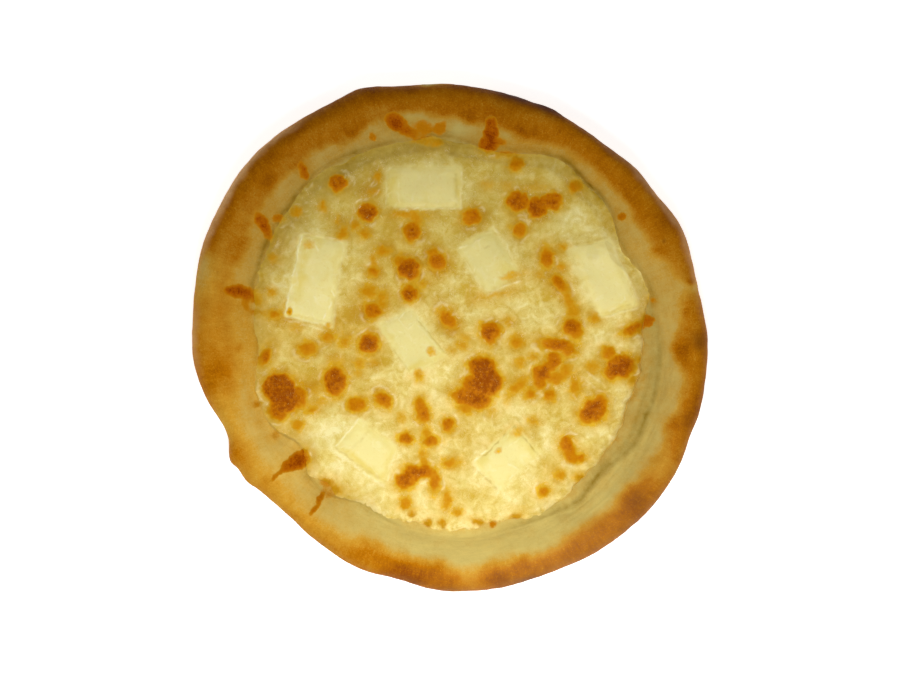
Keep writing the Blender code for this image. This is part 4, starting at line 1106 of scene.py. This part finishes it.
def dough_material(settings):
    net = Net("baked_dough")
    blotch = net.noise(6.0, 3.0, 0.6)
    fine = net.noise(0.5, 3.0, 0.6)
    speck = net.noise(1.0, 3.0, 0.7)
    dots = net.noise(0.8, 1.0, 0.5)
    streaks = net.noise(1.5, 3.0, 0.6, place=net.round_the_rim(1.0, 0.22))
    folds = net.noise(1.3, 3.0, 0.6, place=net.round_the_rim(0.14, 1.0))
    baked = net.attribute("baked")
    crease = net.attribute("crease")
    below = net.attribute("below")
    above = 1.0 - below

    uneven = (speck - 0.5) * 0.34 + (fine - 0.5) * 0.35 + (streaks - 0.5) * 0.34 * above
    toast = baked + (blotch - 0.5) * (0.20 + below * 0.6) + uneven * (baked + 0.15)
    toast = toast + net.step(net.noise(9.0, 3.0, 0.6, 0.8), 0.50, 0.64) * below * 0.30
    toast = toast - net.step(dots, 0.58, 0.68) * baked * 0.15
    surface = net.ramp(toast, (0.04, settings.pale), (0.34, settings.golden),
                       (0.62, settings.brown), (0.95, settings.deep))
    # Painted shade: the dough darker by angle, and lighter or darker along the folds.
    shade = net.attribute("shade") * (1.0 + (folds - 0.5) * 0.22 * (1.0 - baked) * above)
    surface = net.shaded(surface, shade)
    char = net.attribute("char") + (blotch - 0.5) * 0.20 + (speck - 0.5) * 0.22
    # Char, flour, and the crease painted dark as oil and as shade.
    surface = net.layers(
        surface, (char * 0.95, settings.dark),
        (net.attribute("flour") * speck * 1.6, settings.floury),
        (crease * (0.7 + speck * 0.6), settings.oily_and_shade))
    surface = net.mix(net.attribute("stain") * blotch * 0.9, surface, settings.stained, "MULTIPLY")

    crumbly = net.noise(0.9, 3.0, 0.7)
    shred = net.attribute("toast")
    shred_tones = net.ramp(
        shred + (crumbly - 0.5) * 1.1 * shred, (0.10, settings.shred_pale),
        (0.28, settings.shred_edge), (0.76, settings.shred), (1.0, settings.shred_dark))
    surface = net.mix(net.step(shred + (crumbly - 0.5) * 0.25, 0.12, 0.34), surface, shred_tones)

    pores = net.noise(2.0, 4.0, 0.6)
    skin = (fine * 0.4 + pores) * (1.0 - below * 0.75) + folds * above * 0.5
    roughness = settings.roughness - crease * 0.2 + (speck - 0.5) * 0.2
    return net.finish(Base_Color=surface, Roughness=roughness, Normal=net.bump(skin, 0.30, 0.55),
                      Specular_IOR_Level=0.03, Specular_Tint=WARM_SHINE)


def cheese_material(name, settings, toast_settings):
    """Melted cheese and the faces of the slices, which run into it."""
    net = Net(name)
    toast = net.attribute("toast")
    on_face = net.attribute("face")
    line = net.attribute("line")
    shade = net.attribute("shade")
    broad = net.noise(8.0, 2.0, 0.5, 0.6)
    cloud = net.noise(4.4, 3.0, 0.5, 0.8)
    fine = net.noise(1.3, 3.0, 0.55)
    tiny = net.noise(0.5, 2.0, 0.6)
    veins = net.veins(3.6, 2.0, 26.0) * net.step(net.noise(2.4), 0.46, 0.60)
    strokes = net.veins(2.9, 2.4, 18.0) * net.step(net.noise(3.1), 0.46, 0.62)
    # Painted glints: small bright specks laid into the colour, where light would catch the oil.
    glints = net.step(net.noise(0.9, 1.0, 0.5, 2.5), 0.665, 0.735)

    tone = net.attribute("curd") + (cloud - 0.5) * 1.3 + (fine - 0.5) * net.attribute("crumbly")
    tone = tone + (tiny - 0.5) * 0.55 + veins * 0.15 - strokes * 0.15
    surface = net.ramp(tone, (0.05, settings.oil), (0.5, settings.butter), (0.95, settings.cream))
    stain = net.attribute("stain") * (0.30 + cloud * 1.2 + (fine - 0.5) * 0.8) * 1.5
    surface = net.mix(stain, surface, settings.stained, "MULTIPLY")
    # The thin cheese, darkened by the painted shade by angle.
    thin_and_shade = net.shaded(settings.thin_and_shade, shade + (cloud - 0.5) * 0.3)

    melt = net.attribute("melt") * (0.6 + cloud * 0.8) + (broad - 0.56) * 1.6
    face = net.mix(melt, settings.face, settings.face_edge)
    # Painted sheen on the slices' faces, and painted shine from the glints and veins.
    sheen = ((net.noise(5.0, 2.0, 0.5, 1.2) - 0.55) * 4.0).clamped() * 0.45
    face = net.mix(sheen, face, settings.gleam)
    shine = (glints + veins * 0.4) * ((broad - 0.40) * 5.0).clamped() * (1.0 - on_face * 0.7)
    # Over the cheese: thin cheese with painted shade along the wall, the slices' faces, painted shade on
    # the upper side and in the dent, painted highlights on pale lines and glints, and painted shade in
    # the olive lines.
    surface = net.layers(
        surface, (net.attribute("thin_and_shade") * (0.6 + fine * 0.8), thin_and_shade), (on_face, face),
        (net.attribute("dull_and_shade"), settings.dull_and_shade), (line * 0.85 + shine * 0.6, settings.gleam),
        (line * -0.8, net.shaded(settings.hollow_shade, shade)))

    surface = toasted(net, surface, toast_settings, net.noise(1.3, 3.0, 0.6))
    spotted = net.ramp(toast, (0.02, BLACK), (0.24, WHITE), (0.42, WHITE), (0.60, BLACK))
    # Painted glints on the blisters, oil-soaked browning, spots on the slices, and painted highlights on
    # the palest lines.
    surface = net.layers(
        surface, (glints * (toast - 0.45) * 0.9, settings.butter),
        (net.attribute("soaked") * (0.1 + fine * 1.1), settings.soaked),
        (spotted * on_face * (0.2 + fine * 1.2), settings.spot),
        ((line - 0.75) * 3.0, settings.gleam))

    rough = fine * (1.0 - on_face * 0.8) + tiny * 0.4 + toast * fine
    relief = cloud * (0.8 - on_face * 0.6) + rough * 0.8
    roughness = settings.roughness + (cloud - 0.5) * 0.25 + toast * 0.15
    wet = (line * 0.5 - toast * 0.4 + (veins - 0.4) * 0.25).clamped()
    return net.finish(Base_Color=surface, Roughness=roughness, Normal=net.bump(relief, 0.30, 0.30),
                      Subsurface_Weight=0.06, Subsurface_Radius=(0.0012, 0.0008, 0.0003),
                      Subsurface_Scale=1.0, Specular_IOR_Level=0.06, Specular_Tint=WARM_SHINE,
                      Coat_Weight=wet, Coat_Roughness=0.14)


# ---------------------------------------------------------------------------------------------
# Pieces


def crust_rings(settings):
    """The crust's section from the middle of the floor to the middle of the underside, as
    (radius where the rim is not reached, share of the rim's width, height)."""
    shares, heights = rim_curve(settings.rings)
    rows = [(radius, 0.0, FLOOR_HEIGHT) for radius in FLOOR_RINGS]
    rows += [(FOOT_RADIUS, share, height) for share, height in zip(shares, heights)]
    rows += [(radius, -1.0, 0.0) for radius in UNDERSIDE_RINGS]
    return np.array(rows)


def bake(radius, angle, height, x, y):
    """How far the dough is baked, charred and floury, from the place on the rim."""
    wandering = radius + waves(x, y, BROWN_WANDER)
    line = round_table(angle, BROWN_LINE)
    soft = 2.2 + swell(angle, SOFT_BROWNING)
    band = smooth(line - soft, line + soft + 0.8, wandering)
    slope = round_table(angle, SLOPE_TONE) + 0.05 * wave(x, y, 10.0, 37.9)
    baked = slope + band * (round_table(angle, BAND_TONE) + waves(x, y, BAND_WAVES) - slope)
    baked *= 1.0 - 0.8 * smooth(1.5, -1.5, radius - foot_radius(angle))
    bent_angle = angle + 1.2 * wave(x, y, 6.0, 38.3)
    bent_radius = radius + 1.2 * wave(x, y, 6.0, 39.7)
    baked += patches(bent_radius, bent_angle, BAKED_PATCHES) * smooth(6.0, 13.0, height)
    baked += 0.17 * smooth(115.0, 124.0, wandering) * swell(angle, BROWNER_EDGE)
    char = patches(bent_radius, bent_angle, CHARRED_PATCHES)
    outer = outer_radius(angle)
    flour = swell(angle, FLOURY_EDGE) * smooth(outer - 5.5, outer - 1.0, wandering)
    flour += swell(angle, FLOURY_CREST) * smooth(109.0, 114.0, wandering)
    below = smooth(9.0, 3.0, height)
    above = 1.0 - below
    return {"baked": baked * above + 0.46 * below, "char": char * above,
            "flour": flour * above + 0.06 * below, "below": below}


def shape_crust(crust, rows):
    """Moves the grid into the crust's closed form, with one row of it on each ring."""
    points = read_points(crust)
    angle = (points[:, 0] + 1.0) * 180.0
    row = np.rint((points[:, 1] + 1.0) / 2.0 * (len(rows) - 1)).astype(int)
    nominal, share, height = rows[row].T
    foot = foot_radius(angle)
    width = outer_radius(angle) - foot
    moved = np.where(height > FLOOR_HEIGHT, wall_share(share, angle), share)
    radius = np.where(nominal >= FOOT_RADIUS, foot + moved * width, nominal * foot / FOOT_RADIUS)
    inset = nominal * (foot + CREST_SHARE * width) / UNDERSIDE_RADIUS
    radius = np.where(share < 0.0, inset, radius)
    x = radius * np.cos(np.radians(angle))
    y = radius * np.sin(np.radians(angle))
    z = rim_height(height, x, y, angle)
    write_points(crust, np.column_stack([x, y, z]) * MM)
    merge_seams(crust)


def build_crust(settings, material):
    rows = crust_rings(settings)
    crust = grid("crust_dough", settings.steps, len(rows) - 1)
    shape_crust(crust, rows)

    points = read_points(crust) / MM
    normals = read_normals(crust)
    x, y, z = points.T
    radius, angle = polar(x, y)
    foot = foot_radius(angle)
    upper = (z > UPPER_SIDE_FROM) & (normals[:, 2] > 0.0)
    fillet = foot_fillet(radius, angle)
    raised = fillet + np.log1p(np.exp(np.clip((z - fillet) / 0.9, -30.0, 30.0))) * 0.9
    points[:, 2] = z = np.where(upper & (z < FILLET_TOP), raised, z)

    tone, dome, stain, _ = browned(x, y)
    relief = grain(points, 6.0, 3.1) + 0.5 * grain(points, 2.6, 5.9)
    turn = np.radians(angle)
    folds = wave(radius, turn * 9.0, 1.9, 7.3) + 0.6 * wave(radius, turn * 16.0, 1.0, 7.9)
    folded = swell(angle, FOLDED) * smooth(foot - 6.0, foot, radius) * smooth(16.5, 12.0, z) * upper
    second = foot - 3.4 + 0.8 * np.sin(np.radians(angle * 5.0))
    second_line = swell(angle, SECOND_CREASE) * np.exp(-((radius - second) / 1.1) ** 2) * upper
    push = settings.skin_relief / MM * (relief - 1.0)
    push += FOLD_HEIGHT * folded * (folds - 0.6) - SECOND_CREASE_DEPTH * second_line
    push = push * smooth(0.0, 2.5, z) + SHRED_HEIGHT * dome * upper
    points += normals * push[:, None]
    points[:, 2] = np.minimum(points[:, 2], CAD_BOX[1][2] / MM - 0.01)
    write_points(crust, points * MM)

    # The crease painted dark, as oil and as shade, at the foot of the wall and in the second crease; oil
    # washed over the floor.
    uneven = (0.75 + waves(x, y, CREASE_WAVES)) * upper
    lip = swell(angle, LIP)
    away = radius + waves(x, y, CREASE_WANDER) - foot + 0.3 - 1.9 * against_wall(angle) + 1.2 * lip
    crease = (0.6 - 0.35 * lip) * np.exp(-((away / 2.4) ** 2))
    crease += (0.45 + 0.35 * lip) * np.exp(-((away / 0.9) ** 2))
    crease = crease * swell(angle, CREASE) * uneven + 0.25 * second_line
    crease += (0.12 + swell(angle, WASHED_FLOOR)) * smooth(foot + 2.0, foot - 2.0, radius) * uneven
    # Painted shade: the dough darker on its upper side, lighter on raised folds and skin; painted light
    # on the lower slope near its foot.
    shade = round_table(angle, SHADE) * (1.0 + 0.10 * folded * folds + 0.03 * relief)
    shade *= 1.0 + swell(angle, PAINTED_LIGHT_SLOPE) * smooth(foot + 10.0, foot + 3.0, radius)
    unsoaked = np.minimum(swell(angle, UNSOAKED_SLOPE), 1.0)
    write_looks(crust, {
        **bake(radius, angle, z, x, y), "crease": crease, "shade": shade, "toast": tone * upper,
        "stain": stain * upper * (1.0 - 0.85 * unsoaked)})
    finish_piece(crust, material, "crust", "crust")


def nearest_slice(x, y):
    """How far inside the nearest slice a place lies; negative outside all of them."""
    return np.max([inside_slice(x, y, corners) for corners in SLICE_CORNERS], axis=0)


def cheese_looks(x, y, near, inward, face, stain):
    """Where the melted cheese is creamy, golden, thin or melted smooth, with painted light and shade:
    paler on the lower side, darker on the upper, and shaded where it is thin against the wall.
    """
    _, angle = polar(x, y)
    curd = 0.44 + 0.30 * wave(x, y, 9.0, 71.3) + 0.10 * smooth(-6.0, -0.5, near)
    pooled = sum(strength * np.exp(-((x - px) ** 2 + (y - py) ** 2) / spread ** 2)
                 for px, py, spread, strength in OIL_POOLS) * (1.0 - face)
    curd += swell(angle, SIDE_LIGHT_AND_SHADE) - 0.35 * pooled
    curd += 0.10 * smooth(8.0, 1.0, inward) * swell(angle, CREAMY_RIM)
    stain = np.clip(stain + 0.3 * pooled, 0.0, 1.0)
    stain = stain * (1.0 - 0.6 * smooth(10.0, 3.0, inward) * swell(angle, UNSTAINED_EDGE))

    walled = against_wall(angle)
    reach = 4.0 + 8.6 * walled + swell(angle, THIN_REACH)
    # Thin cheese, partly real and partly painted shade, strongest against the wall.
    thin_and_shade = smooth(reach, 0.0, inward + waves(x, y, THIN_WAVES)) * (0.55 + 0.35 * walled)
    thin_and_shade *= 1.0 - np.minimum(swell(angle, CREAMY_EDGE), 1.0)
    thin_and_shade *= 1.0 - 0.7 * np.maximum(face, smooth(-2.0, 0.0, near))
    crumbly = 0.17 + smooth(9.0, 1.0, inward) * swell(angle, CRUMBLY_EDGE)
    melt = 0.35 * smooth(5.0, 0.5, near) + 0.9 * thin_faces(*bent(x, y, MELT_BEND))
    return {"curd": curd, "stain": stain * (1.0 - 0.8 * face), "thin_and_shade": thin_and_shade, "crumbly": crumbly,
            "melt": melt, "face": face, "shade": round_table(angle, SHADE)}


def melted_surface(x, y, settings):
    """The upper side of the melted cheese without its pockets, and what the material needs."""
    near = nearest_slice(x, y)
    face = slice_share(x, y)
    body, inward = cheese_body(x, y, near)
    tone, dome, stain, ring = browned(x, y)
    relief, shade = thin_lines(x, y)
    radius, angle = polar(x, y)
    bent_x, bent_y = bent(x, y, LUMP_BEND)
    lumps = waves(bent_x, bent_y, LUMP_WAVES)
    curds = pebbles(bent_x, bent_y, 3.1, 59.9)
    grains = pebbles(x, y, 1.5, 63.1) + wave(x, y, 1.2, 65.9)
    tone = tone * (1.0 - 0.40 * face)
    calm = 1.0 - 0.85 * np.maximum(face, smooth(-4.0, 0.5, near))
    height = body + settings.lump / MM * (lumps + 0.25 * curds) * calm
    height += settings.grain / MM * grains * (1.0 + 2.5 * smooth(5.0, 1.0, inward)) * calm
    height += BLISTER_HEIGHT * dome + BLISTER_GRAIN * pebbles(x, y, 1.5, 67.3) * tone
    height += relief + RING_HEIGHT * ring
    ragged = np.minimum(swell(angle, RAGGED_EDGE), 1.0) * smooth(6.5, 1.0, inward)
    clumps = pebbles(bent_x, bent_y, 2.6, 81.1) + 0.5 * pebbles(bent_x, bent_y, 1.5, 82.3) - 0.3
    crumbs = ragged * clumps
    height = np.maximum(height + CRUMB_HEIGHT * crumbs, foot_fillet(radius, angle) + 0.15)
    dented = np.exp(-((np.hypot(x - DENT[0], y - DENT[1]) / DENT[2]) ** 4))
    height -= DENT[3] * dented

    # Painted shade: a dark olive line where the cheese meets the wall.
    wall_seam_shade = swell(angle, CREASE) * 1.15 * np.exp(-(((inward - 0.9) / 2.1) ** 2))
    wall_seam_shade *= against_wall(angle) * (0.6 + waves(x, y, SEAM_WAVES))
    looks = cheese_looks(x, y, near, inward, face, stain)
    looks["curd"] += (0.12 * lumps + 0.08 * (curds - 0.5)) * calm
    looks["curd"] += 0.45 * (crumbs - 0.30 * ragged)
    looks["toast"] = tone
    looks["soaked"] = (smooth(7.0, 1.5, inward) * smooth(0.06, 0.26, tone)
                       * smooth(0.85, 0.60, tone))
    # Painted shade: darker towards the upper side and in the dent; some slices duller than others.
    looks["dull_and_shade"] = 0.30 * smooth(10.0, 80.0, y) + slice_dullness(x, y) + 0.14 * dented
    looks["line"] = np.clip(shade + 0.4 * ring - wall_seam_shade, *LINE_SHADE)
    return height, inward, near, looks


def write_looks(obj, looks):
    """Stores what the material needs. The values are those of the upper side, whose vertices come
    first; the sides below take the mean."""
    added = len(obj.data.vertices) - len(looks["toast"])
    for name, values in looks.items():
        everywhere = np.concatenate([values, np.full(added, values.mean())])
        attribute = obj.data.attributes.new(name, "FLOAT", "POINT")
        attribute.data.foreach_set("value", everywhere.astype(np.float32))


def build_cheese(settings, material):
    cheese = grid("cheese_melt", settings.cells, settings.cells)
    flat_x, flat_y = round_grid(read_points(cheese))
    _, angle = polar(flat_x, flat_y)
    edge = edge_radius(angle)
    x, y = flat_x * edge, flat_y * edge
    height, inward, near, looks = melted_surface(x, y, settings)
    pocket = smooth(*POCKET_SIDE, near)
    height = height * (1.0 - pocket) + (SLICE_BOTTOM - 0.2) * pocket
    height = np.minimum(height, SLICE_TOP - 0.05)
    walled = against_wall(angle) * (1.0 - swell(angle, LIP))
    height -= 0.6 * (1.0 - walled) * smooth(0.8, 0.0, inward)
    height -= 1.1 * walled * np.clip(1.0 - inward / 3.4, 0.0, 1.0)
    write_points(cheese, np.column_stack([x, y, height]) * MM)
    close_below(cheese, ((0.1, FLOOR_HEIGHT + GAP + 0.9), (0.5, FLOOR_HEIGHT + GAP)))
    write_looks(cheese, looks)
    finish_piece(cheese, material, "cheese_layer", "cheese_layer")


def build_slice(number, corners, settings, cheese_settings, material):
    slab = grid(f"soft_slice_{number}", settings.cells, settings.cells)
    across, up, _ = read_points(slab).T
    weights = ((1 - across) * (1 - up), (1 + across) * (1 - up),
               (1 + across) * (1 + up), (1 - across) * (1 + up))
    x = sum(weight / 4.0 * point[0] for weight, point in zip(weights, corners))
    y = sum(weight / 4.0 * point[1] for weight, point in zip(weights, corners))
    ground, _, _, looks = melted_surface(x, y, cheese_settings)
    inside = inside_slice(x, y, corners)
    roll = smooth(-0.2, settings.shoulder / MM, inside)
    lift = SLICE_LIFT + waves(x, y, ((0.10, 7.0, 85.7 + number), (0.04, 2.6, 87.9)))
    lift = 0.03 + lift * roll - 0.38 * smooth(-0.1, -0.6, inside)
    write_points(slab, np.column_stack([x, y, np.minimum(ground + lift, SLICE_TOP)]) * MM)
    close_below(slab, ((0.0, SLICE_BOTTOM + 0.6), (0.3, SLICE_BOTTOM)))
    write_looks(slab, looks)
    finish_piece(slab, material, "cheese_slice", f"cheese_slice_{number}")


def place_in_scene(name, data, place):
    """Adds a lamp or camera to the scene."""
    holder = bpy.data.objects.new(name, data)
    bpy.context.scene.collection.objects.link(holder)
    holder.location = place
    return holder


def build_stage(settings):
    bpy.ops.object.select_all(action="DESELECT")
    # A hair below the pizza, so that the two flat faces don't share a plane.
    bpy.ops.mesh.primitive_plane_add(size=FLOOR_SIZE, location=(0.0, 0.0, -FLOOR_DROP * MM))
    floor = bpy.context.object
    floor.name = "floor"
    net = Net("pale_floor")
    # Seen from below it is clear, so that the underside can be looked at.
    seen_from_above = 1.0 - net.node("ShaderNodeNewGeometry", output="Backfacing")
    floor.data.materials.append(net.finish(
        Base_Color=settings.floor, Roughness=0.9, Alpha=seen_from_above, Emission_Color=WHITE,
        Emission_Strength=FLOOR_GLOW))

    world = bpy.data.worlds.new("soft_room")
    world.use_nodes = True
    back = world.node_tree.nodes["Background"]
    back.inputs["Color"].default_value = (1.0, 0.99, 0.97, 1.0)
    back.inputs["Strength"].default_value = settings.fill
    bpy.context.scene.world = world

    for name, place, target, size in LIGHTS:
        lamp = bpy.data.lights.new(name, "AREA")
        lamp.size = size
        lamp.energy = settings.key if name == "key" else settings.side
        lamp.color = LIGHT_COLOUR
        holder = place_in_scene(name, lamp, place)
        aim = Vector(target) - holder.location
        holder.rotation_euler = aim.to_track_quat("-Z", "Y").to_euler()
        holder.visible_camera = False

    camera = bpy.data.cameras.new("camera")
    camera.lens = settings.lens
    camera.sensor_width = SENSOR_WIDTH
    camera.clip_start = 0.01
    height = settings.frame_width * settings.lens / SENSOR_WIDTH + WIDEST_LINE * MM
    bpy.context.scene.camera = place_in_scene("camera", camera, (0.0, 0.0, height))
    view = bpy.context.scene.view_settings
    view.view_transform = "Standard"
    view.look = "None"
    view.exposure = 0.0
    view.gamma = 1.0


# ---------------------------------------------------------------------------------------------
# Operators and panel


class PIZZA_OT_crust(bpy.types.Operator):
    """Model the baked dough, with its browned rim, in place of the plain crust"""

    bl_idname = "pizza.crust"
    bl_label = "Crust"

    def execute(self, context):
        settings = context.scene.pizza_crust
        build_crust(settings, dough_material(settings))
        return {"FINISHED"}


class PIZZA_OT_cheese(bpy.types.Operator):
    """Model the melted cheese layer with its lumps, threads and browned blisters"""

    bl_idname = "pizza.cheese"
    bl_label = "Melted cheese"

    def execute(self, context):
        scene = context.scene
        material = cheese_material("melted_cheese", scene.pizza_cheese, scene.pizza_toast)
        build_cheese(scene.pizza_cheese, material)
        return {"FINISHED"}


class PIZZA_OT_slices(bpy.types.Operator):
    """Model the half-melted soft-cheese slices"""

    bl_idname = "pizza.slices"
    bl_label = "Soft-cheese slices"

    def execute(self, context):
        scene = context.scene
        material = cheese_material("soft_cheese", scene.pizza_cheese, scene.pizza_toast)
        for number, corners in enumerate(SLICE_CORNERS, 1):
            build_slice(number, corners, scene.pizza_slice, scene.pizza_cheese, material)
        return {"FINISHED"}


class PIZZA_OT_stage(bpy.types.Operator):
    """Set the floor, the lights and the camera"""

    bl_idname = "pizza.stage"
    bl_label = "Stage"

    def execute(self, context):
        build_stage(context.scene.pizza_stage)
        return {"FINISHED"}


class PIZZA_PT_sidebar(bpy.types.Panel):
    """Lists the pieces of the pizza and their settings"""

    bl_label = "Pizza"
    bl_space_type = "VIEW_3D"
    bl_region_type = "UI"
    bl_category = "Pizza"

    def draw(self, context):
        for operator, group in PIECES:
            box = self.layout.box()
            box.operator(operator.bl_idname)
            if group:
                settings = getattr(context.scene, group)
                for name in settings.bl_rna.properties.keys():
                    if name not in {"rna_type", "name"}:
                        box.prop(settings, name)


PIECES = (
    (PIZZA_OT_crust, "pizza_crust"),
    (PIZZA_OT_cheese, "pizza_cheese"),
    (PIZZA_OT_slices, "pizza_slice"),
    (PIZZA_OT_stage, "pizza_stage"),
)
GROUPS = {
    "pizza_crust": PizzaCrustSettings,
    "pizza_cheese": PizzaCheeseSettings,
    "pizza_toast": PizzaToastSettings,
    "pizza_slice": PizzaSliceSettings,
    "pizza_stage": PizzaStageSettings,
}


def register():
    for name, group in GROUPS.items():
        bpy.utils.register_class(group)
        setattr(bpy.types.Scene, name, bpy.props.PointerProperty(type=group))
    for operator, _ in PIECES:
        bpy.utils.register_class(operator)
    bpy.utils.register_class(PIZZA_PT_sidebar)


def unregister():
    bpy.utils.unregister_class(PIZZA_PT_sidebar)
    for operator, _ in reversed(PIECES):
        bpy.utils.unregister_class(operator)
    for name, group in reversed(GROUPS.items()):
        delattr(bpy.types.Scene, name)
        bpy.utils.unregister_class(group)


def main():
    register()
    bpy.ops.pizza.crust()
    bpy.ops.pizza.cheese()
    bpy.ops.pizza.slices()
    bpy.ops.pizza.stage()


if __name__ == "__main__":
    main()
